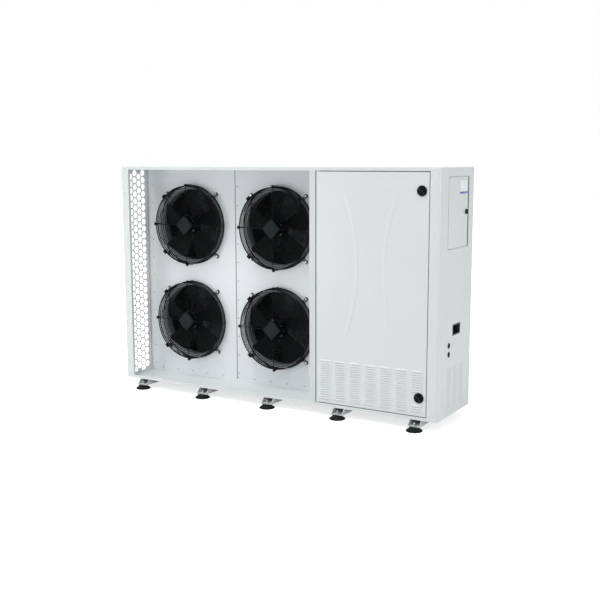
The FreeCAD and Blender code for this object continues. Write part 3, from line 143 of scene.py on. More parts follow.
class Look:
    """A new material with a Principled shader and short ways to add nodes."""

    def __init__(self, name, metallic=0.0, coat=0.0, specular=0.5):
        self.material = bpy.data.materials.new(name)
        self.material.use_nodes = True
        self.tree = self.material.node_tree
        self.shader = self.tree.nodes["Principled BSDF"]
        fill(self.shader, Metallic=metallic, Coat_Weight=coat, Specular_IOR_Level=specular)
        self.place = self.node("ShaderNodeTexCoord").outputs["Object"]

    def node(self, kind, **inputs):
        return fill(self.tree.nodes.new(kind), **inputs)

    def join(self, output, target):
        self.tree.links.new(output, target)

    def noise(self, scale, detail):
        made = self.node("ShaderNodeTexNoise", Scale=scale, Detail=detail)
        self.join(self.place, made.inputs["Vector"])
        return made.outputs["Fac"]

    def spangle(self, scale):
        """One random number for each grain of a cell pattern."""
        cells = self.node("ShaderNodeTexVoronoi", Scale=scale)
        self.join(self.place, cells.inputs["Vector"])
        single = self.node("ShaderNodeSeparateColor")
        self.join(cells.outputs["Color"], single.inputs["Color"])
        return single.outputs["Red"]

    def colour(self, share, first, second):
        """Base colour between two colours."""
        mix = self.node("ShaderNodeMix")
        mix.data_type = "RGBA"
        for slot, value in (("A", first), ("B", second)):
            socket = [s for s in mix.inputs if s.name == slot and s.type == "RGBA"][0]
            socket.default_value = value
        self.join(share, mix.inputs["Factor"])
        mixed = [s for s in mix.outputs if s.type == "RGBA"][0]
        self.join(mixed, self.shader.inputs["Base Color"])

    def rough(self, value, low, high, near=0.3, far=0.7):
        spread = map_range(self.tree, value, low, high, near, far)
        self.join(spread, self.shader.inputs["Roughness"])

    def patches(self, first, second, scale, detail, amount, near=0.3, far=0.7):
        """Soft patches of up to an amount of the second colour in the first."""
        share = map_range(self.tree, self.noise(scale, detail), 0.0, amount, near, far)
        self.colour(share, first, second)

    def wear(self, low, high, scale, detail):
        """Roughness that wanders between two values."""
        self.rough(self.noise(scale, detail), low, high)

    def grain(self, scale, detail, depth, strength):
        """Fine relief."""
        bump = self.node("ShaderNodeBump", Strength=strength, Distance=depth)
        self.join(self.noise(scale, detail), bump.inputs["Height"])
        self.join(bump.outputs["Normal"], self.shader.inputs["Normal"])


def shade(colour, factor):
    return (*[value * factor for value in colour[:3]], 1.0)


def powder_coat(name, colour, rough=0.42):
    """Satin powder coat: fine orange peel and very slight unevenness of colour."""
    look = Look(name)
    look.patches(shade(colour, 0.985), shade(colour, 1.015), 2.5, 3.0, 1.0)
    look.wear(rough - 0.012, rough + 0.015, 14.0, 5.0)
    look.grain(650.0, 2.0, 0.00002, 0.25)
    return look.material


def plastic(name, colour, rough=0.5, grain=1200.0, specular=0.5):
    """Moulded plastic with a fine spark-eroded grain and a dusty bloom."""
    look = Look(name, specular=specular)
    look.patches(colour, shade(colour, 1.7), 22.0, 6.0, 0.35)
    look.wear(rough - 0.08, rough + 0.1, 90.0, 5.0)
    look.grain(grain, 2.0, 0.00006, 0.6)
    return look.material


def rubber(name, colour, specular=0.3):
    """Matt rubber with dust in it."""
    look = Look(name, specular=specular)
    look.patches(colour, shade(colour, 2.4), 45.0, 8.0, 0.5)
    look.wear(0.62, 0.85, 60.0, 5.0)
    look.grain(800.0, 3.0, 0.0001, 0.7)
    return look.material


def black_coat(name, colour, rough, specular=0.45):
    """Thin satin coat on wire and castings, a little lighter in spots."""
    look = Look(name, specular=specular)
    look.patches(colour, shade(colour, 1.8), 60.0, 6.0, 0.4)
    look.wear(rough - 0.07, rough + 0.1, 120.0, 4.0)
    look.grain(500.0, 3.0, 0.00008, 0.6)
    return look.material


def galvanised(name, colour):
    """Zinc-coated sheet with a faint spangle."""
    look = Look(name, metallic=0.85)
    share = look.spangle(130.0)
    look.colour(share, shade(colour, 0.82), shade(colour, 1.1))
    look.rough(share, 0.34, 0.55, 0.0, 1.0)
    look.grain(300.0, 3.0, 0.00004, 0.5)
    return look.material


def bare_metal(name, colour, rough, stain):
    """Machined or drawn metal with patches of darker oxide."""
    look = Look(name, metallic=1.0)
    look.patches(colour, stain, 35.0, 7.0, 0.8, 0.42, 0.75)
    look.wear(rough - 0.08, rough + 0.14, 160.0, 4.0)
    look.grain(900.0, 2.0, 0.00003, 0.6)
    return look.material


def painted_plate(name, colour):
    """Glossy paint, slightly worn."""
    look = Look(name, coat=0.3)
    look.patches(colour, shade(colour, 0.9), 30.0, 5.0, 0.4)
    look.wear(0.3, 0.45, 80.0, 3.0)
    look.grain(400.0, 2.0, 0.00003, 0.4)
    return look.material


CASING = powder_coat("casing coat", srgb(212, 218, 218), 0.3)
# The fan panel coat is a lighter copy of the casing coat, to make up for the shade in the recess: painted
# light.
PANEL_PAINTED_LIGHT = powder_coat("fan panel coat, painted light", srgb(222, 227, 229), 0.36)
# Screw heads on the fan panels: a grey copy of the powder coat, darker than the panel so each head shows as
# a dark speck: painted shade.
SCREW_COAT_SHADE = powder_coat("screw coat, painted shade", srgb(150, 155, 158), 0.4)
# The divider post's coat is a darker copy of the casing coat: painted shade.
POST_PAINTED_SHADE = powder_coat("post coat, painted shade", srgb(203, 209, 209), 0.3)
RAIL = powder_coat("rail coat", srgb(188, 193, 193), 0.48)
# Rubber of the bushes and mounts; also the dark strip behind the hatch, where it is painted shade for the
# gap.
SEAL_AND_GAP_SHADE = rubber("seal rubber", srgb(42, 44, 45))
GASKET = rubber("door seal rubber", srgb(128, 131, 133))
# Sealant over the panel joint, darker than sealant to paint the joint's shadow line: painted shade.
SEALANT_AND_SHADE = rubber("joint sealant and painted shade", srgb(98, 101, 103))
FOOT = rubber("foot rubber", srgb(14, 17, 18), 0.15)
GUARD = black_coat("guard coat", srgb(7, 9, 10), 0.45, 0.1)
MOTOR = black_coat("motor coat", srgb(6, 8, 9), 0.5, 0.06)
# Mid grey for the white collar inside each fan opening: painted shade.
COLLAR_SHADE = black_coat("collar coat, painted shade", srgb(104, 109, 111), 0.5, 0.2)
BLADE = plastic("fan blade plastic", srgb(9, 11, 12), 0.45, 700.0, 0.07)
TERMINAL = plastic("terminal box plastic", srgb(23, 27, 28), 0.55, 1200.0, 0.12)
KNOB = plastic("latch plastic", srgb(8, 11, 12), 0.46, 1200.0, 0.1)
# The grip bar's plastic is a lighter, glossier copy of the latch plastic: painted highlight.
KNOB_BAR_HIGHLIGHT = plastic("latch grip plastic, painted highlight", srgb(17, 22, 23), 0.42, 1200.0, 0.16)
TRIM = plastic("outlet trim plastic", srgb(24, 27, 29), 0.5)
CONTROL = plastic("control housing plastic", srgb(64, 67, 70), 0.5)
CONTROL_PALE = plastic("control cover plastic", srgb(150, 155, 158), 0.45)
CONTROL_GREEN = plastic("terminal plastic", srgb(60, 110, 80), 0.45)
FINS = bare_metal("fin aluminium", srgb(198, 202, 205), 0.42, srgb(182, 186, 189))
# Fins on the fans' side of the coil are a darker copy of the fin aluminium: painted shade.
FINS_SHADED = bare_metal("fin aluminium in painted shade", srgb(120, 124, 127), 0.5, srgb(88, 91, 94))
COIL_TUBE = bare_metal("coil tube copper", srgb(122, 94, 80), 0.5, srgb(66, 50, 44))
# Dark core inside the coil: painted shade.
CORE_SHADE = plastic("coil shadow", srgb(34, 36, 38), 0.8)
ZINC = galvanised("zinc sheet", srgb(186, 190, 193))
SCREW = bare_metal("zinc fastener", srgb(172, 176, 180), 0.34, srgb(112, 116, 120))
# A darker copy of the zinc fastener for the screw inside the fan: painted shade.
FASTENER_SHADE = bare_metal("fastener in painted shade", srgb(92, 95, 98), 0.5, srgb(70, 72, 75))
COPPER = bare_metal("copper tube", srgb(186, 126, 100), 0.34, srgb(122, 76, 58))
BRASS = bare_metal("brass", srgb(200, 164, 92), 0.3, srgb(136, 104, 54))
COMPRESSOR = black_coat("compressor paint", srgb(24, 26, 28), 0.32)
DRIER = powder_coat("drier paint", srgb(72, 92, 104), 0.38)
PLATE_WHITE = painted_plate("blank plate", srgb(238, 241, 244))
PLATE_BLUE = painted_plate("plate band", srgb(32, 90, 150))

CAD_LOOKS = {
    CASING: ("base_pan", "top_cover", "left_side_panel", "divider_wall",
             "right_side_panel", "rear_bay_panel", "door_frame", "service_door", "electrical_hatch"),
    PANEL_PAINTED_LIGHT: ("fan_panel_left", "fan_panel_right"),
    POST_PAINTED_SHADE: ("divider_post",),
    GASKET: ("door_gasket",),
    MOTOR: tuple("fan_motor_" + name for name in FANS),
    ZINC: ("coil_end_plates", "mounting_rail", "electrical_enclosure"),
    SCREW: ("door_hinges", "hatch_hinges", "foot_nuts", "guard_bolts"),
    TRIM: ("pipe_outlet_trim",),
    RAIL: ("cross_rails",),
}

for material, names in CAD_LOOKS.items():
    for name in names:
        mesh = frame["nodes"][name].data
        mesh.materials.clear()
        mesh.materials.append(material)


# Places and rows

def span(node):
    """A node's lowest corner, highest corner and middle."""
    low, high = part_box(node)
    return low, high, (low + high) / 2


def standing(node):
    """The middle of a node's foot, and its height."""
    low, high, middle = span(node)
    return Vector((middle.x, middle.y, low.z)), high.z - low.z


def row(first, pitch, count):
    """Evenly spaced places along a line."""
    return [first + pitch * k for k in range(count)]


def polar(first, second, angle, length=1.0):
    """Vector at an angle from one direction towards another."""
    return (first * cos(angle) + second * sin(angle)) * length


def about(centre, axis, angle):
    """Turn round an axis through a point."""
    return Matrix.Translation(centre) @ Matrix.Rotation(angle, 4, axis) @ Matrix.Translation(-centre)


# Plain shapes, each a list of points and a list of faces

def basis(axis):
    """Two directions square to an axis, for drawing circles round it."""
    helper = Z if abs(axis.z) < 0.9 else X
    first = axis.cross(helper).normalized()
    return first, axis.cross(first)


def bands(rings, closed):
    """Faces between neighbouring rings of point numbers; a tip repeats one number."""
    pairs = list(zip(rings, rings[1:]))
    if closed:
        pairs.append((rings[-1], rings[0]))
    faces = []
    for low, high in pairs:
        for k in range(len(low)):
            nxt = (k + 1) % len(low)
            corners = []
            for index in (low[k], low[nxt], high[nxt], high[k]):
                if index not in corners:
                    corners.append(index)
            if len(corners) > 2:
                faces.append(tuple(corners))
    return faces


def tube(path, radius, sides=8, closed=False):
    """Round bar along a path of points."""
    points, rings = [], []
    total = len(path)
    normal = None
    for i, point in enumerate(path):
        before = path[i - 1] if closed or i > 0 else point
        after = path[(i + 1) % total] if closed or i < total - 1 else point
        along = (after - before).normalized()
        if normal is None:
            normal = basis(along)[0]
        normal = (normal - along * normal.dot(along)).normalized()
        side = along.cross(normal)
        rings.append(range(len(points), len(points) + sides))
        for k in range(sides):
            points.append(point + polar(normal, side, 2 * pi * k / sides, radius))
    faces = bands(rings, closed)
    if not closed:
        faces += [tuple(rings[0])[::-1], tuple(rings[-1])]
    return points, faces


def ring(centre, axis, radius, wire, segments=96, sides=8):
    first, second = basis(axis)
    path = []
    for k in range(segments):
        path.append(centre + polar(first, second, 2 * pi * k / segments, radius))
    return tube(path, wire, sides, closed=True)


def lathe(centre, axis, profile, segments=48, loop=False):
    """Body turned round an axis; the profile is a list of (distance along, radius)."""
    first, second = basis(axis)
    points, rings = [], []
    for along, radius in profile:
        at = centre + axis * along
        if radius < 1e-6:
            rings.append([len(points)] * segments)
            points.append(at)
            continue
        rings.append(range(len(points), len(points) + segments))
        for k in range(segments):
            points.append(at + polar(first, second, 2 * pi * k / segments, radius))
    return points, bands(rings, loop)


def disc(centre, axis, radius, length, segments=48, edge=0.0):
    """Solid cylinder; its far edge is rounded if an edge radius is given."""
    profile = [(0.0, 0.0), (0.0, radius)]
    if edge:
        steps = 4
        for k in range(steps + 1):
            round_off = polar(X, Y, pi / 2 * k / steps, edge)
            profile.append((length - edge + round_off.y, radius - edge + round_off.x))
    else:
        profile.append((length, radius))
    profile.append((length, 0.0))
    return lathe(centre, axis, profile, segments)


def block(low, high, edge=0.0, steps=2):
    """Block between two corners with rounded edges."""
    shape = bmesh.new()
    bmesh.ops.create_cube(shape, size=1.0)
    for vertex in shape.verts:
        for i in range(3):
            vertex.co[i] = high[i] if vertex.co[i] > 0 else low[i]
    if edge:
        bmesh.ops.bevel(shape, geom=shape.edges[:], offset=edge, segments=steps, affect="EDGES",
                        profile=0.5)
    shape.verts.index_update()
    points = [vertex.co.copy() for vertex in shape.verts]
    faces = [tuple(vertex.index for vertex in face.verts) for face in shape.faces]
    shape.free()
    return points, faces


def front_block(centre, half_x, half_z, front, back, edge, steps=2):
    """Block round a centre in X and Z, between two depths in Y."""
    low = (centre.x - half_x, front, centre.z - half_z)
    high = (centre.x + half_x, back, centre.z + half_z)
    return block(low, high, edge, steps)


def skin(rows, columns, both_sides):
    """Closed thin body; both_sides gives its outer and inner point at a row and a column."""
    wide = columns + 1
    pairs = [both_sides(r, c) for r in range(rows + 1) for c in range(wide)]
    points = [outer for outer, _ in pairs] + [inner for _, inner in pairs]
    far = len(pairs)
    faces = []
    for r in range(rows):
        for c in range(columns):
            a, b = r * wide + c, r * wide + c + 1
            d, e = a + wide, b + wide
            faces.append((a, b, e, d))
            faces.append((far + a, far + d, far + e, far + b))
    rim = list(range(wide))
    rim += [r * wide + columns for r in range(1, rows + 1)]
    rim += [rows * wide + c for c in range(columns - 1, -1, -1)]
    rim += [r * wide for r in range(rows - 1, 0, -1)]
    for a, b in zip(rim, rim[1:] + rim[:1]):
        faces.append((b, a, far + a, far + b))
    return points, faces


def turned(shape, matrix):
    points, faces = shape
    return [matrix @ point for point in points], faces


def rounded(corners, radius, steps=8):
    """Path through square corners with each one replaced by an arc."""
    path = [corners[0]]
    for before, corner, after in zip(corners, corners[1:], corners[2:]):
        into = (corner - before).normalized()
        out = (after - corner).normalized()
        centre = corner - into * radius + out * radius
        for k in range(steps + 1):
            path.append(centre + polar(-out, into, pi / 2 * k / steps, radius))
    path.append(corners[-1])
    return path


def both_ends(end, length):
    """Profile that has the same shape at both ends."""
    return end + [(length - along, radius) for along, radius in reversed(end)]


def shown(name, data):
    """New object in the scene."""
    thing = bpy.data.objects.new(name, data)
    bpy.context.scene.collection.objects.link(thing)
    return thing


def make(name, slot, shapes, *replaced, body="casing"):
    """One object of shapes with their materials, riding on a body in place of CAD nodes."""
    points, faces, marks, materials = [], [], [], []
    for (shape_points, shape_faces), material in shapes:
        offset = len(points)
        if material not in materials:
            materials.append(material)
        points.extend(tuple(point) for point in shape_points)
        faces.extend(tuple(offset + index for index in face) for face in shape_faces)
        marks.extend([materials.index(material)] * len(shape_faces))
    mesh = bpy.data.meshes.new(name)
    mesh.from_pydata(points, [], faces)
    for material in materials:
        mesh.materials.append(material)
    mesh.polygons.foreach_set("material_index", marks)
    shape = bmesh.new()
    shape.from_mesh(mesh)
    bmesh.ops.recalc_face_normals(shape, faces=shape.faces[:])
    shape.to_mesh(mesh)
    shape.free()
    mesh.shade_smooth()
    mesh.set_sharp_from_angle(angle=SHARP_EDGE)
    thing = shown(name, mesh)
    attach(thing, body)
    if replaced:
        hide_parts(*replaced)


# Fans

def fan_centre(name):
    centre = span("terminal_box_" + name)[2]
    centre.y = 0.0
    return centre


def strut(centre, angle, shift):
    """Wire that runs out over the guard's face, bends and comes back to the panel."""
    out = polar(X, Z, angle)
    start = centre + out.cross(Y) * shift
    face = Y * (GUARD_FACE + WIRE)
    corners = [
        start + out * STRUT_START + face,
        start + out * STRUT_RADIUS + face,
        start + out * STRUT_RADIUS + Y * (PANEL_FACE - WIRE),
    ]
    return tube(rounded(corners, STRUT_BEND, 6), WIRE, 8)


def strut_shoe(centre, half):
    """Pressed shoe that holds a strut's bend on the rim ring, at the guard's right."""
    inside, outside, depth, edge = 0.003, 0.0045, 0.013, 0.0022
    low = (centre.x + FACE_RADIUS - inside, GUARD_FACE + WIRE, centre.z - half)
    high = (centre.x + STRUT_RADIUS + outside, GUARD_FACE + depth, centre.z + half)
    return block(low, high, edge)


def eyelet(centre, angle):
    """Wire loop that the bolt of a double strut holds against the panel."""
    out = polar(X, Z, angle)
    side = out.cross(Y)
    back = centre + Y * (PANEL_FACE - EYELET_WIRE)
    reach, half_turn, steps = 0.0095, radians(140), 16
    path = [back + out * STRUT_RADIUS - side * PAIR_SHIFT]
    for k in range(steps + 1):
        turn = half_turn * (2 * k / steps - 1)
        path.append(back + out * BOLT_RADIUS + polar(out, side, turn, reach))
    path.append(back + out * STRUT_RADIUS + side * PAIR_SHIFT)
    return tube(path, EYELET_WIRE, 8)


def guard_rings():
    """Depth, radius and wire of each ring: the two rims, the side's and the face's."""
    back = PANEL_FACE - RIM_WIRE
    face = GUARD_FACE + 2 * WIRE + RIM_WIRE
    rings = [(back, GUARD_RADIUS, RIM_WIRE), (face, FACE_RADIUS, RIM_WIRE)]
    side_gaps, side_wire = 5, 0.0018
    for k in range(1, side_gaps):
        share = k / side_gaps
        radius = GUARD_RADIUS + (FACE_RADIUS - GUARD_RADIUS) * share
        rings.append((back + (face - back) * share, radius, side_wire))
    face_rings, face_wire = 12, 0.0013
    pitch = (FACE_RADIUS - INNER_RING) / face_rings
    for radius in row(INNER_RING, pitch, face_rings):
        rings.append((GUARD_FACE + 2 * WIRE + face_wire, radius, face_wire))
    return rings


def fan_guard(name):
    """Rings on eight struts, every second one double, and a screw on the inner ring."""
    centre = fan_centre(name)
    for along, radius, wire in guard_rings():
        yield ring(centre + Y * along, Y, radius, wire, 96, 6), GUARD
    single_shoe, double_shoe = 0.009, 0.013
    for k in range(8):
        angle = pi * k / 4
        double = k % 2 == 1
        for shift in (-PAIR_SHIFT, PAIR_SHIFT) if double else (0.0,):
            yield strut(centre, angle, shift), GUARD
        if double:
            yield eyelet(centre, angle), GUARD
        shoe = strut_shoe(centre, double_shoe if double else single_shoe)
        yield turned(shoe, about(centre, Y, -angle)), GUARD
    at = centre + polar(X, Z, radians(-28), INNER_RING) + Y * (GUARD_FACE + 0.006)
    # The screw on the inner ring is in darker metal: painted shade.
    yield disc(at, -Y, 0.0048, 0.0058, 6, 0.0012), FASTENER_SHADE


def terminal_box(name):
    """Turned square box with a lid, a seam and four screws."""
    low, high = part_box("terminal_box_" + name)
    centre = fan_centre(name)
    half = (high.x - low.x) / 2 * sqrt(0.5) * BOX_SHARE
    base_half = half - 0.001
    screw_reach = half - 0.009
    seam, seam_gap = low.y + 0.007, 0.0008
    spin = about(centre, Y, pi / 4)
    base = front_block(centre, base_half, base_half, seam + seam_gap, high.y, 0.003)
    yield turned(base, spin), TERMINAL
    yield turned(front_block(centre, half, half, low.y, seam, 0.0025), spin), TERMINAL
    for x in (-screw_reach, screw_reach):
        for z in (-screw_reach, screw_reach):
            at = Vector((centre.x + x, low.y - 0.0006, centre.z + z))
            yield turned(disc(at, Y, 0.0032, 0.003, 12), spin), MOTOR


def blade_point(share, chordwise, lift):
    """Point on a blade: share of the way to the tip, chordwise from 0 to 1, lifted off its middle."""
    radius = BLADE_ROOT + share * (TIP_RADIUS - BLADE_ROOT)
    chord = ROOT_CHORD + (TIP_CHORD - ROOT_CHORD) * share
    pitch = ROOT_PITCH + (TIP_PITCH - ROOT_PITCH) * share
    along = (chordwise - 0.5) * chord
    bow = BLADE_BOW * chord * (1 - (2 * chordwise - 1) ** 2)
    across = along * cos(pitch) - bow * sin(pitch) - BLADE_SWEEP * share
    depth = along * sin(pitch) + bow * cos(pitch) + lift
    return polar(X, Z, across / radius, radius) + Y * (PANEL_FACE - BLADE_SETBACK + depth)


def blade():
    """Blade that thins towards its edges and its tip, with cut tip corners."""
    rows, columns = 12, 14
    half_gauge, edge_half = 0.0024, 0.0004

    def both_sides(r, c):
        share = r / rows
        cut = 0.06 * max(0.0, (share - 0.85) / 0.15) ** 2
        chordwise = cut + (1 - 2 * cut) * c / columns
        fullness = (1 - (2 * c / columns - 1) ** 4) * (1.2 - 0.5 * share)
        thick = half_gauge * fullness + edge_half
        return blade_point(share, chordwise, thick), blade_point(share, chordwise, -thick)

    return skin(rows, columns, both_sides)


def fan_impeller(name):
    """Blades with their rivets round a hollow rotor can with four cooling grooves."""
    centre = fan_centre(name)
    front = GUARD_FACE + 0.0125
    length, bore, rivet = 0.078, 0.0086, 0.0035
    shape = blade()
    for k in range(BLADES):
        angle = 2 * pi * k / BLADES + BLADE_START
        matrix = Matrix.Translation(centre) @ Matrix.Rotation(-angle, 4, Y)
        yield turned(shape, matrix), BLADE
        at = centre + polar(X, Z, angle, BLADE_ROOT) + Y * (front - 0.0015)
        yield disc(at, Y, rivet, rivet, 6), SCREW
    can = [(0, bore), (0, ROTOR_RADIUS - 0.012), (0.003, ROTOR_RADIUS - 0.004), (0.008, ROTOR_RADIUS)]
    groove = ROTOR_RADIUS - 0.0012
    for start in row(0.018, 0.011, 4):
        can += [(start, ROTOR_RADIUS), (start + 0.001, groove), (start + 0.003, groove),
                (start + 0.004, ROTOR_RADIUS)]
    can += [(length - 0.012, ROTOR_RADIUS), (length - 0.003, ROTOR_RADIUS - 0.004),
            (length, ROTOR_RADIUS - 0.014), (length, bore)]
    yield lathe(centre + Y * front, Y, can, 64, loop=True), MOTOR


def nozzle(name):
    """Drawn collar round a fan's opening, behind the panel; its mid grey is painted shade on the white
    collar.
    """
    start = fan_centre(name) + Y * (PANEL_FACE - 0.0015)
    inner = APERTURE - 0.0022
    outer = APERTURE - 0.0008
    gauge = 0.0014
    profile = [(gauge, FLANGE_RADIUS), (gauge, outer), (NOZZLE_DEPTH, outer), (NOZZLE_DEPTH, inner),
               (0.003, inner), (0.001, inner + 0.0008), (0.0, inner + 0.003), (0.0, FLANGE_RADIUS - 0.0006)]
    yield lathe(start, Y, profile, 96, loop=True), COLLAR_SHADE


# Small fasteners on the casing

def pan_head(at, out, radius=0.0042):
    """Low domed screw head with a sunk middle, standing on a surface."""
    height, sunk, quarter = 0.0026, 0.0014, 3.4
    profile = [(0.0, 0.0), (0.0, radius)]
    for k in range(1, 4):
        angle = pi / 2 * k / quarter
        profile.append((height * sin(angle), radius * cos(angle)))
    profile += [(height, radius * 0.16), (sunk, 0.0)]
    return lathe(at, out, profile, 14)


def screws():
    """Heads along the lid, round and between the fan panels, and down the rear bay panel."""
    lid_z = TOP - 0.009
    for x in (LEFT + 0.026, LEFT + 0.56, JOINT_X, DIVIDER_X + 0.019, 0.75, RIGHT - 0.108, RIGHT - 0.045):
        yield pan_head(Vector((x, FRONT, lid_z)), -Y), CASING
    pitch, sill, head_room = 0.118, 0.04, 0.1
    count = int((TOP - LIP_TOP - head_room) / pitch) + 1
    # The heads on the fan panels are grey: painted shade round each head.
    for x in (LEFT + 0.041, JOINT_X + 0.016, DIVIDER_X - 0.014):
        for z in row(LIP_TOP + sill, pitch, count):
            yield pan_head(Vector((x, PANEL_FACE, z)), -Y), SCREW_COAT_SHADE
    for x in row(LEFT + 0.1, 0.122, 11):
        yield pan_head(Vector((x, PANEL_FACE, LIP_TOP + 0.012)), -Y), SCREW_COAT_SHADE
    for y in (FRONT + 0.12, 0.0, BACK - 0.08):
        yield pan_head(Vector((RIGHT, y, lid_z)), X), CASING
    low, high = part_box("rear_bay_panel")
    inset, end_gap, rear_count = 0.012, 0.03, 8
    rear_pitch = (high.z - low.z - 2 * end_gap) / (rear_count - 1)
    for x in (low.x + inset, high.x - inset):
        for z in row(low.z + end_gap, rear_pitch, rear_count):
            yield pan_head(Vector((x, BACK, z)), Y), SCREW


def panel_seam():
    """Dark line over the joint between the two fan panels: sealant, darkened as painted shade for the
    joint's shadow line.
    """
    half, sunk, proud, under_lid = 0.0027, 0.0003, 0.001, 0.016
    low = (JOINT_X - half, PANEL_FACE - sunk, LIP_TOP)
    high = (JOINT_X + half, PANEL_FACE + proud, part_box("top_cover")[0].z + under_lid)
    yield block(low, high), SEALANT_AND_SHADE


# Louvres and creases

def hood(origin, across, out, width, height, proud):
    """Pressed louvre: a thin lip that rises from the sheet and stands open at its lower edge."""
    rows, columns, gauge = 6, 10, 0.0009

    def both_sides(r, c):
        v, u = r / rows, 2 * c / columns - 1
        swell = sin(pi / 2 * min(1.0, v * 1.25))
        lift = proud * swell * (1 - abs(u) ** 3.5) ** 0.7
        at = origin + across * (u * width / 2) + Z * (height * (0.5 - v))
        return at + out * (lift + STANDOFF), at + out * (lift - gauge)

    return skin(rows, columns, both_sides)


def louvres(first, across, out, columns, pitch, size, left_out=()):
    """Columns of lips; the size is their width, height and how far they stand out."""
    for column in range(columns):
        for level in range(LOUVRE_ROWS):
            if (column, level) not in left_out:
                at = first + across * (pitch * column) + Z * (LOUVRE_RISE * level)
                yield hood(at, across, out, *size), CASING


def door_louvres():
    """Seven columns low on the door; the last one leaves room for the lower latch."""
    first = Vector((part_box("service_door")[0].x + 0.056, FRONT, BOTTOM + 0.0535))
    pitch, size = 0.095, (0.077, 0.0106, 0.0042)
    latch_room = [(6, level) for level in range(3, 8)]
    return louvres(first, X, -Y, 7, pitch, size, latch_room)


def side_louvres():
    """Three faint columns low in the right side."""
    first = Vector((RIGHT, FRONT + 0.165, BOTTOM + 0.05))
    pitch, size = 0.09, (0.062, 0.0096, 0.0028)
    return louvres(first, Y, X, 3, pitch, size)


def crease(side):
    """Pressed crescent of the door, bowed towards its middle, with soft flanks."""
    _, high, middle = span("service_door")
    start, end = BOTTOM + 0.403, high.z - 0.106
    near, far, proud, sunk = 0.082, 0.162, 0.003, 0.0008
    narrow, widening = 0.012, 0.004
    rows, columns = 48, 12

    def both_sides(r, c):
        s, u = 2 * r / rows - 1, 2 * c / columns - 1
        spine = middle.x + side * (far - (far - near) * (1 - s * s))
        x = spine + (narrow + widening * abs(s)) * u
        z = start + (end - start) * (s + 1) / 2
        lift = proud * (1 - s ** 8) * cos(pi / 2 * u) ** 2
        return Vector((x, FRONT - lift - STANDOFF, z)), Vector((x, FRONT + sunk, z))

    return skin(rows, columns, both_sides)


def door_creases():
    for side in (-1, 1):
        yield crease(side), CASING


# Latches

def door_latch(node):
    """Round knob with a grip bar in a shallow dish, its spindle and its cam."""
    low, high, middle = span(node)
    outer = (high.x - low.x) / 2
    centre = Vector((middle.x, 0.0, high.z - outer))
    radius = outer - 0.0013
    back = FRONT - 0.0003
    cam_low, cam_half = high.y - 0.004, 0.008
    profile = [(0, 0), (0, radius), (0.003, radius), (0.0055, radius - 0.001), (0.0068, radius - 0.0035),
               (0.0068, radius - 0.006), (0.0045, radius - 0.0085), (0.0045, 0)]
    yield lathe(centre + Y * back, -Y, profile, 48), KNOB
    grip_long, grip_wide, grip_back = 0.0215, 0.006, back - 0.004
    grip = front_block(centre, grip_long, grip_wide, low.y, grip_back, 0.003, 3)
    # The grip bar is lighter than the knob: painted highlight.
    yield turned(grip, about(centre, Y, radians(45))), KNOB_BAR_HIGHLIGHT
    yield disc(centre + Y * back, Y, 0.01, cam_low - back, 32), SCREW
    cam_start = (centre.x - cam_half, cam_low, low.z)
    cam_end = (centre.x + cam_half, high.y, centre.z + cam_half)
    yield block(cam_start, cam_end, 0.0012), SCREW
    yield disc(centre + Y * (high.y - 0.0005), Y, 0.006, 0.0035, 6), SCREW


def hatch_latch():
    """Small round knob with a grip bar, its spindle and its cam."""
    low, high, middle = span("hatch_latch")
    radius = (high.y - low.y) / 2
    centre = Vector((0.0, middle.y, high.z - radius))
    face = RIGHT + 0.0003
    dish = 0.006
    profile = [(0, 0), (0, radius), (dish, radius), (0.0085, radius - 0.002), (0.0085, radius - 0.004),
               (0.007, radius - 0.006), (0.007, 0)]
    yield lathe(centre + X * face, X, profile, 36), KNOB
    grip = Vector((0.0, 0.0095, 0.003))
    # The grip bar is lighter than the knob: painted highlight.
    yield block(centre - grip + X * (face + dish), centre + grip + X * high.x, 0.0014), KNOB_BAR_HIGHLIGHT
    gauge, half = 0.004, 0.008
    start = low.x + gauge / 2
    yield disc(centre + X * start, X, 0.006, face - start, 24), SCREW
    cam = block((low.x, centre.y - half, low.z), (low.x + gauge, centre.y + half, centre.z + half), 0.001)
    yield cam, SCREW


# Small parts of the hatch

def hatch_plate():
    """Blank plate with a plain band, high at the hatch's rear edge."""
    y0, y1 = FRONT + 0.26792, FRONT + 0.37944
    z0, z1 = BOTTOM + 1.2172, BOTTOM + 1.28792
    back, band, edge = RIGHT + 0.0001, 0.011, 0.0002
    yield block((back, y0, z0 + band), (RIGHT + 0.0007, y1, z1), edge), PLATE_WHITE
    yield block((back, y0, z0), (RIGHT + 0.0008, y1, z0 + band), edge), PLATE_BLUE


def hatch_edges():
    """Flanges that close most of the gap above and below the hatch, away from its hinges."""
    low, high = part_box("electrical_hatch")
    start = low.y + 0.03
    reach, gauge, lap = 0.0028, 0.001, 0.0005
    for z0, z1 in ((high.z - lap, high.z + reach), (low.z - reach, low.z + lap)):
        yield block((RIGHT - gauge, start, z0), (RIGHT, high.y, z1)), CASING


def hatch_gap_shade():
    """Dark rubber strip down the window's edge behind the hatch: painted shade for the shadowed gap there.
    """
    low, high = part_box("electrical_hatch")
    gap, width, sunk, proud, longer = 0.0012, 0.0083, 0.001, 0.0016, 0.002
    start = high.y + gap
    shade_strip_low = (RIGHT - sunk, start, low.z - longer)
    shade_strip_high = (RIGHT + proud, start + width, high.z + longer)
    yield block(shade_strip_low, shade_strip_high, 0.0012), SEAL_AND_GAP_SHADE


# Feet and bushes

def foot_places(node, inset, z):
    """Places over the feet in two rows, a distance inside a node's front and back."""
    low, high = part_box(node)
    rows = (low.y + inset, high.y - inset)
    return [Vector((x, y, z)) for x in row(LEFT + FOOT_START, FOOT_PITCH, FEET) for y in rows]


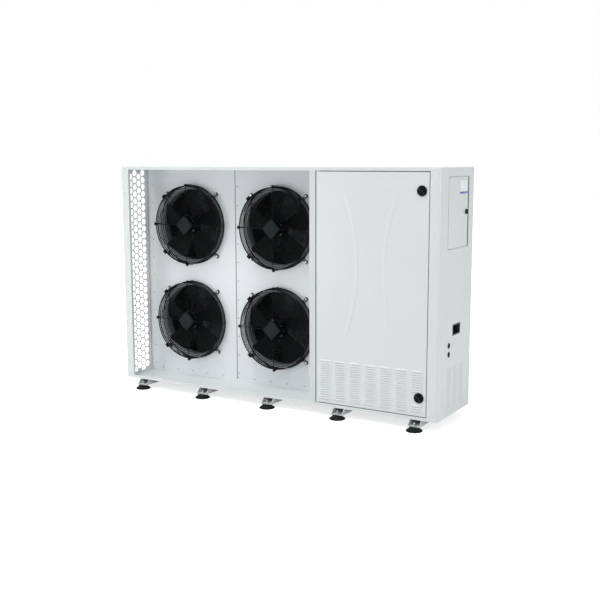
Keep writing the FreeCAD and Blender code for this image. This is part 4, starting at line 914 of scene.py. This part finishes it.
def feet():
    """Rubber feet: a rounded flange below a waist that narrows to the top."""
    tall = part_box("rubber_feet")[1].z
    radius, slim, flange, rim = 0.046, 0.0272, 0.0068, 0.0025
    steps = 8
    profile = [(0.0, 0.0), (0.0, radius - 0.002), (0.0012, radius - 0.0004), (0.003, radius),
               (0.005, radius - 0.0005), (flange, radius - rim)]
    for k in range(1, steps + 1):
        share = k / steps
        flare = (radius - rim - slim) * (1 - share) ** 1.7
        profile.append((flange + (tall - 0.002 - flange) * share, slim + flare))
    profile += [(tall - 0.0005, slim - 0.001), (tall, slim - 0.003), (tall, 0.0)]
    for at in foot_places("rubber_feet", radius, 0.0):
        yield lathe(at, Z, profile, 40), FOOT


def foot_studs():
    """Threaded stud ends above the nuts in the rails."""
    nut_half, crest, root = 0.0125, 0.006, 0.0053
    pitch, start, length, sunk = 0.0016, 0.001, 0.011, 0.001
    profile = [(0.0, 0.0), (0.0, crest)]
    for along in row(start, pitch, 6):
        profile += [(along, crest), (along + pitch / 2, root)]
    profile += [(length, 0.005), (length, 0.0)]
    for at in foot_places("foot_nuts", nut_half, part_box("foot_nuts")[1].z - sunk):
        yield lathe(at, Z, profile, 16), SCREW


def cable_bushes():
    """Two rubber bushes with a flange outside and a bead inside the sheet."""
    low, high, middle = span("cable_grommets")
    half = (high.y - low.y) / 2
    flange, bore = 0.0172, 0.01
    profile = [(-0.0075, bore + 0.0015), (-0.006, bore), (-0.001, bore), (0.0012, bore + 0.0012),
               (0.0015, bore + 0.004), (0.0013, flange - 0.0012), (0.0004, flange - 0.0002),
               (0.0001, flange - 0.0008), (0.0001, 0.0153), (-0.0065, 0.015), (-0.0079, 0.0135)]
    for z in (low.z + half, high.z - half):
        yield lathe(Vector((RIGHT, middle.y, z)), X, profile, 40, loop=True), SEAL_AND_GAP_SHADE


# Coil

def coil():
    """Fins, tube rows and a light-tight core between the end plates; the dark core and the darker fins on
    the fans' side are painted shade.
    """
    low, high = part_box("coil_fin_pack")
    fin_pitch, fin_half, reach = 0.0032, 0.00025, 0.014
    core_low = (low.x, low.y + reach, low.z)
    core_high = (high.x, high.y - reach, high.z)
    yield block(core_low, core_high), CORE_SHADE
    total = int((high.x - low.x) / fin_pitch)
    # The front fins take the darker aluminium: painted shade.
    faces = ((low.y, low.y + reach, FINS_SHADED), (high.y - reach, high.y, FINS))
    for k in range(total):
        x = low.x + (k + 0.5) * (high.x - low.x) / total
        for y0, y1, finish in faces:
            yield block((x - fin_half, y0, low.z), (x + fin_half, y1, high.z)), finish
    rise, inset, radius = 0.025, 0.009, 0.005
    for z in row(low.z + rise / 2, rise, int((high.z - low.z) / rise)):
        for y in (low.y + inset, high.y - inset):
            ends = [Vector((low.x, y, z)), Vector((high.x, y, z))]
            yield tube(ends, radius, 8), COIL_TUBE


def return_bends():
    """Hairpins out of the end plate, with a collar on each leg."""
    low, high, middle = span("coil_return_bends")
    half, steps = 0.025, 12
    first = low.z + LINE_RADIUS + half
    for z in row(first, 4 * half, int((high.z - low.z) // (4 * half)) + 1):
        centre = Vector((high.x, middle.y, z))
        path = [centre + polar(-Z, -X, pi * i / steps, half) for i in range(steps + 1)]
        yield tube(path, LINE_RADIUS, 10), COPPER
        for leg in (-half, half):
            yield disc(centre + Z * leg, -X, LINE_RADIUS + 0.0012, 0.004, 16), BRASS


def headers():
    """Gas header above the liquid header, each with four feeds into the coil."""
    low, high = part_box("coil_headers")
    gas_low, liquid_high = BOTTOM + 0.69, BOTTOM + 0.65
    radius, feeds, feed_pitch = 0.014, 4, 0.11
    end = [(0.0, 0.0), (0.0, 0.006), (0.003, radius - 0.002), (0.009, radius)]
    at = Vector((high.x - radius, low.y + radius, 0.0))
    for z0, z1 in ((gas_low, high.z), (low.z, liquid_high)):
        yield lathe(at + Z * z0, Z, both_ends(end, z1 - z0), 28), COPPER
        for z in row(z0 + feed_pitch / 2, feed_pitch, feeds):
            yield tube([Vector((low.x, at.y, z)), Vector((at.x, at.y, z))], LINE_RADIUS, 12), COPPER
            collar = Vector((at.x - radius - 0.0015, at.y, z))
            yield disc(collar, X, 0.0065, 0.004, 16), BRASS


# Compressor bay

def vessel_profile(radius, tall, dome):
    """Welded can with elliptical ends and a weld bead below the upper end."""
    steps = 9
    end = [(0.0, 0.0)]
    for k in range(1, steps + 1):
        angle = pi / 2 * k / steps
        end.append((dome * (1 - cos(angle)), radius * sin(angle)))
    seam, bead, half = tall - dome - 0.03, 0.0018, 0.004
    weld = [(seam - half, radius), (seam, radius + bead), (seam + half, radius)]
    return end + weld + both_ends(end, tall)[len(end):]


def compressor():
    """Can with two brass fittings and two lifting lugs."""
    at, tall = standing("compressor")
    radius, dome, fitting_z, fitting_sunk = 0.11, 0.042, 0.06, 0.012
    yield lathe(at, Z, vessel_profile(radius - 0.002, tall, dome), 72), COMPRESSOR
    for turn in (0.6, 2.6):
        out = polar(X, -Y, turn)
        fitting = at + out * (radius - fitting_sunk) + Z * fitting_z
        yield disc(fitting, out, 0.011, 0.02, 6), BRASS
    lug_place, lug_height = 0.05, 0.022
    lug = Vector((0.006, 0.014, 0.0))
    for x in (-lug_place, lug_place):
        top = at + X * x + Z * tall
        yield block(top - lug - Z * lug_height, top + lug, 0.002), COMPRESSOR


def compressor_mounts():
    """Foot plate on four waisted rubber mounts, with washers and nuts."""
    low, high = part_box("compressor_mounts")
    radius, waist, washer = 0.021, 0.016, 0.0015
    plate_low = high.z - 0.006
    tall = plate_low - low.z
    yield block((low.x, low.y, plate_low), high, 0.0015), COMPRESSOR
    profile = [(0.0, 0.0), (0.0, radius), (0.004, radius), (0.006, 0.017), (0.01, 0.0165), (0.013, 0.0195),
               (0.02, 0.0195), (0.023, waist), (tall, waist), (tall, 0.0)]
    for x in (low.x + radius, high.x - radius):
        for y in (low.y + radius, high.y - radius):
            yield lathe(Vector((x, y, low.z)), Z, profile, 32), SEAL_AND_GAP_SHADE
            yield disc(Vector((x, y, high.z)), Z, 0.011, washer, 24), SCREW
            yield disc(Vector((x, y, high.z + washer)), Z, 0.0075, 0.006, 6), SCREW


def terminal_cover():
    """Cover with a pale rim, a screw and a cable gland."""
    low, high, middle = span("compressor_terminal_cover")
    rim_low, rim_high, gland_y = low.y + 0.022, low.y + 0.0255, low.y + 0.012
    yield block(low, high, 0.006, 3), CONTROL
    yield block((low.x, rim_low, low.z), (high.x, rim_high, high.z), 0.0015), CONTROL_PALE
    yield pan_head(Vector((middle.x, low.y + 0.0005, middle.z)), -Y), SCREW
    profile = [(0, 0), (0, 0.01), (0.006, 0.01), (0.007, 0.008), (0.014, 0.0075), (0.014, 0.0)]
    yield lathe(Vector((middle.x, gland_y, low.z)), -Z, profile, 16), CONTROL


def receiver():
    """Vessel on a foot ring, with a brass fitting."""
    at, tall = standing("liquid_receiver")
    yield lathe(at, Z, vessel_profile(0.083, tall, 0.042), 64), COMPRESSOR
    yield ring(at + Z * 0.012, Z, 0.062, 0.006, 48, 8), COMPRESSOR
    yield disc(at + Vector((-0.078, 0, 0.12)), -X, 0.012, 0.012, 24), BRASS


def drier():
    """Can with coned ends on a copper stem with two nuts."""
    low, high, middle = span("filter_drier")
    middle.z = 0.0
    tall, stem, nut = 0.19, 0.008, 0.012
    base = high.z - tall
    end = [(0, 0.0), (0, 0.009), (0.008, 0.012), (0.02, 0.03), (0.03, 0.0375)]
    yield lathe(middle + Z * base, Z, both_ends(end, tall), 48), DRIER
    yield tube([middle + Z * low.z, middle + Z * base], stem, 20), COPPER
    for z in (low.z + 0.01, base - nut):
        yield disc(middle + Z * z, Z, 0.0145, nut, 6), BRASS


def line(radius, corners):
    """Copper pipe through some corners, with a collar at each end."""
    collar, length, cone = radius + 0.0012, 0.012, 0.0135
    profile = [(0, 0), (0, collar), (length, collar), (cone, radius), (cone, 0)]
    yield tube(rounded(corners, COPPER_BEND, 10), radius, 20), COPPER
    for end, inner in ((corners[0], corners[1]), (corners[-1], corners[-2])):
        yield lathe(end, (inner - end).normalized(), profile, 20), COPPER


def pipe(node, radius, *places):
    shapes = line(radius, [Vector(place) for place in places])
    make(node + "_run", "copper", shapes, node)


def pipework():
    """The bay's four lines, each along the sides of its own node's box."""
    clear = 0.08
    low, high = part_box("discharge_pipe")
    r = DISCHARGE_RADIUS
    front, back, top = low.y + r, high.y - r, high.z - r
    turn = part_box("divider_post")[0].x + 0.002 + clear
    pipe("discharge_pipe", r, (high.x - r, front, low.z), (high.x - r, front, top), (turn, front, top),
         (turn, back, top), (low.x, back, top))
    low, high, middle = span("condensate_pipe")
    r = LIQUID_RADIUS
    y = middle.y
    pipe("condensate_pipe", r, (low.x, y, high.z - r), (high.x - r, y, high.z - r), (high.x - r, y, low.z))
    low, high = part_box("liquid_pipe")
    drier_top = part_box("filter_drier")[1].z
    left, front, back, bottom, top = low.x + r, low.y + r, high.y - r, low.z + r, high.z - r
    pipe("liquid_pipe", r, (left, back, drier_top), (left, back, top), (left, front, top),
         (left, front, bottom), (high.x, front, bottom))
    low, high, middle = span("suction_pipe")
    r = SUCTION_RADIUS
    y, turn = middle.y, low.x + clear
    pipe("suction_pipe", r, (high.x, y, high.z - r), (turn, y, high.z - r), (turn, y, low.z + r),
         (low.x, y, low.z + r))


def valves():
    """Two valves with capped stems, and the lines that leave them."""
    low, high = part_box("service_valves")
    suction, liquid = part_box("suction_pipe")[0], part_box("liquid_pipe")[0]
    line_z = liquid.z + LIQUID_RADIUS
    length, stem_place, cap = 0.05, 0.019, 0.019
    for line_low, radius in ((suction, SUCTION_RADIUS), (liquid, LIQUID_RADIUS)):
        y = line_low.y + radius
        half = 1.5 * radius
        profile = [(0, 0), (0, half * 0.8), (0.004, half * 0.9), (0.03, half * 0.9), (0.034, half * 0.75),
                   (length, half * 0.75), (length, 0)]
        start = Vector((low.x, y, line_z))
        yield lathe(start, X, profile, 28), BRASS
        stem = start + X * stem_place
        rise, drop = half + 0.004, half + 0.002
        yield disc(stem, Z, half * 0.62, rise, 28), BRASS
        yield disc(stem + Z * rise, Z, radius, cap, 6, 0.0015), BRASS
        yield disc(stem, -Z, half * 0.5, drop, 24), BRASS
        ends = [start + X * length, Vector((high.x, y, line_z))]
        yield tube(ends, radius, 28), COPPER


# Controls in the enclosure

def contactor():
    """Stepped housing with two rows of screws and a pale mark."""
    low, high, middle = span("contactor")
    poles = 3
    step = (high.z - low.z) * 0.24
    wide = (high.y - low.y) / poles
    shelf = low.x + (high.x - low.x) * 0.55
    yield block(low, (shelf, high.y, high.z), 0.002), CONTROL
    raised_low = (low.x, low.y + 0.001, low.z + step)
    raised_high = (high.x, high.y - 0.001, high.z - step)
    yield block(raised_low, raised_high, 0.003), CONTROL
    for y in row(low.y + wide / 2, wide, poles):
        for z in (low.z + step / 2, high.z - step / 2):
            at = Vector((shelf, y, z))
            yield disc(at, X, 0.0055, 0.001, 16), CONTROL_PALE
            yield pan_head(at + X * 0.001, X), SCREW
    half_wide, half_tall, sunk, proud = 0.008, 0.01, 0.001, 0.0012
    mark_low = (high.x - sunk, middle.y - half_wide, middle.z - half_tall)
    mark_high = (high.x + proud, middle.y + half_wide, middle.z + half_tall)
    yield block(mark_low, mark_high, 0.001), CONTROL_PALE


def speed_controller():
    """Case on a heat sink of thin sheets, with terminal screws and a dark window."""
    low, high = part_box("fan_speed_controller")
    case, sheets, half = low.x + 0.022, 13, 0.001
    pitch = (high.y - low.y) / sheets
    yield block((case, low.y, low.z), high, 0.003), CONTROL_PALE
    for y in row(low.y + pitch / 2, pitch, sheets):
        yield block((low.x, y - half, low.z), (case + 0.0005, y + half, high.z)), SCREW
    for y in row(low.y + 0.012, 0.013, 6):
        yield pan_head(Vector((high.x, y, low.z + 0.014)), X), SCREW
    window_low = (high.x - 0.002, low.y + 0.015, high.z - 0.05)
    window_high = (high.x + 0.001, high.y - 0.015, high.z - 0.02)
    yield block(window_low, window_high, 0.001), CONTROL


def terminals():
    """Stepped terminals, the last one green."""
    low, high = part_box("terminal_block")
    total, gap, shelf = 10, 0.0002, high.x - 0.012
    ridge_inset, screw_inset, edge = 0.016, 0.008, 0.0006
    wide = (high.y - low.y) / total
    for k in range(total):
        y0, y1 = low.y + wide * k + gap, low.y + wide * (k + 1) - gap
        material = CONTROL_GREEN if k == total - 1 else CONTROL_PALE
        yield block((low.x, y0, low.z), (shelf, y1, high.z), edge), material
        ridge = block((low.x, y0, low.z + ridge_inset), (high.x, y1, high.z - ridge_inset), edge)
        yield ridge, material
        for z in (low.z + screw_inset, high.z - screw_inset):
            yield pan_head(Vector((shelf, (y0 + y1) / 2, z)), X, 0.0024), SCREW


# Studio

CAMERA_PLACE = Vector((2.9733, -4.8069, 1.4661))
CAMERA_HEADING = 0.5411
CAMERA_TILT = 0.1494
CAMERA_ROLL = -0.0026
CAMERA_LENS = 56.379
CAMERA_REACH = 60.0
SKY_LOW, SKY_HIGH = 0.38, 0.85
WHITE = (1.0, 1.0, 1.0, 1.0)


def aimed(ahead):
    """Turn that points an object's -Z along a direction, with +Y up."""
    return ahead.to_track_quat("-Z", "Y").to_matrix().to_4x4()


def camera():
    data = bpy.data.cameras.new("camera")
    data.sensor_fit = "HORIZONTAL"
    data.sensor_width = 36.0
    data.lens = CAMERA_LENS
    data.clip_end = CAMERA_REACH
    seen = shown("camera", data)
    level = polar(Y, -X, CAMERA_HEADING)
    turn = aimed(polar(level, -Z, CAMERA_TILT)) @ Matrix.Rotation(CAMERA_ROLL, 4, "Z")
    seen.matrix_world = Matrix.Translation(CAMERA_PLACE) @ turn
    bpy.context.scene.camera = seen


def direct_rays(tree):
    """One for what the camera, a mirror or clear glass sees, nought for light on surfaces."""
    rays = tree.nodes.new("ShaderNodeLightPath")
    total = rays.outputs["Is Camera Ray"]
    for name in ("Is Glossy Ray", "Is Transmission Ray"):
        either = tree.nodes.new("ShaderNodeMath")
        either.operation = "MAXIMUM"
        tree.links.new(total, either.inputs[0])
        tree.links.new(rays.outputs[name], either.inputs[1])
        total = either.outputs[0]
    return total


def world():
    """Sky that looks white and lights surfaces less, least from below."""
    sky = bpy.data.worlds.new("studio")
    bpy.context.scene.world = sky
    sky.use_nodes = True
    tree = sky.node_tree
    background = tree.nodes["Background"]
    place = tree.nodes.new("ShaderNodeTexCoord")
    parts = tree.nodes.new("ShaderNodeSeparateXYZ")
    tree.links.new(place.outputs["Generated"], parts.inputs["Vector"])
    on_surfaces = map_range(tree, parts.outputs["Z"], SKY_LOW, SKY_HIGH)
    strength = map_range(tree, direct_rays(tree), on_surfaces, 1.0)
    tree.links.new(strength, background.inputs["Strength"])
    fill(background, Color=WHITE)


def floor():
    """Grey ground that glows for the camera, so that it looks as white as the sky."""
    size, grey, glow = 30.0, 0.66, 0.66
    corners = [(-size, -size, 0), (size, -size, 0), (size, size, 0), (-size, size, 0)]
    mesh = bpy.data.meshes.new("floor")
    mesh.from_pydata(corners, [], [(0, 1, 2, 3)])
    ground = shown("floor", mesh)
    material = bpy.data.materials.new("floor")
    material.use_nodes = True
    tree = material.node_tree
    shader = tree.nodes["Principled BSDF"]
    fill(shader, Base_Color=(grey, grey, grey, 1.0), Roughness=0.9, Specular_IOR_Level=0.0,
         Emission_Color=WHITE)
    lift = map_range(tree, direct_rays(tree), 0.0, glow)
    tree.links.new(lift, shader.inputs["Emission Strength"])
    mesh.materials.append(material)


def lamp(name, place, target, size, power):
    """Square area light at a place, aimed at a target."""
    data = bpy.data.lights.new(name, "AREA")
    data.shape = "SQUARE"
    data.size = size
    data.energy = power
    light = shown(name, data)
    light.matrix_world = Matrix.Translation(place) @ aimed(Vector(target) - Vector(place))


# Build

for name in FANS:
    make("guard_" + name, "guard_wire", fan_guard(name), "fan_guard_" + name)
    make("box_" + name, "terminal_plastic", terminal_box(name), "terminal_box_" + name)
    node = "fan_impeller_" + name
    make("impeller_" + name, "fan_blade", fan_impeller(name), node, body=node)
    make("nozzle_" + name, "casing", nozzle(name))
make("screw_heads", "zinc_steel", screws(), "panel_screws")
make("panel_seam", "seal_rubber", panel_seam())
make("door_louvres", "casing", door_louvres(), body="service_door")
make("door_creases", "casing", door_creases(), body="service_door")
make("side_louvres", "casing", side_louvres())
for name in ("upper", "lower"):
    node = "door_latch_" + name
    make("latch_" + name, "latch_plastic", door_latch(node), node, body=node)
make("latch_hatch", "latch_plastic", hatch_latch(), "hatch_latch", body="hatch_latch")
make("hatch_plate", "casing", hatch_plate(), body="electrical_hatch")
make("hatch_flanges", "casing", hatch_edges(), body="electrical_hatch")
make("hatch_gap_shade", "seal_rubber", hatch_gap_shade())
make("feet", "foot_rubber", feet(), "rubber_feet")
make("foot_studs", "zinc_steel", foot_studs())
make("cable_bushes", "seal_rubber", cable_bushes(), "cable_grommets")
make("coil_fins", "fins", coil(), "coil_fin_pack")
make("return_bends", "copper", return_bends(), "coil_return_bends")
make("headers", "copper", headers(), "coil_headers")
make("compressor_can", "compressor_paint", compressor(), "compressor")
make("mounts", "mount_rubber", compressor_mounts(), "compressor_mounts")
make("terminal_cover", "control_plastic", terminal_cover(), "compressor_terminal_cover")
make("receiver", "compressor_paint", receiver(), "liquid_receiver")
make("drier", "drier_paint", drier(), "filter_drier")
pipework()
make("valves", "valve_brass", valves(), "service_valves")
make("contactor_unit", "control_plastic", contactor(), "contactor")
make("controller_unit", "control_plastic", speed_controller(), "fan_speed_controller")
make("terminal_row", "control_plastic", terminals(), "terminal_block")

bpy.context.scene.view_settings.view_transform = "Standard"
world()
floor()
camera()
middle = (0.0, 0.0, 0.7)
lamp("key", (-1.0, -3.5, 7.0), middle, 5.0, 198.0)
lamp("top", (-1.1, -1.9, 7.0), (-1.0, -0.1, 0.1), 2.0, 94.0)
lamp("fill", (6.0, -2.5, 1.4), middle, 1.6, 74.0)
lamp("recess", (-1.9, -2.6, 0.6), (-0.6, 0.0, 0.2), 1.0, 15.0)
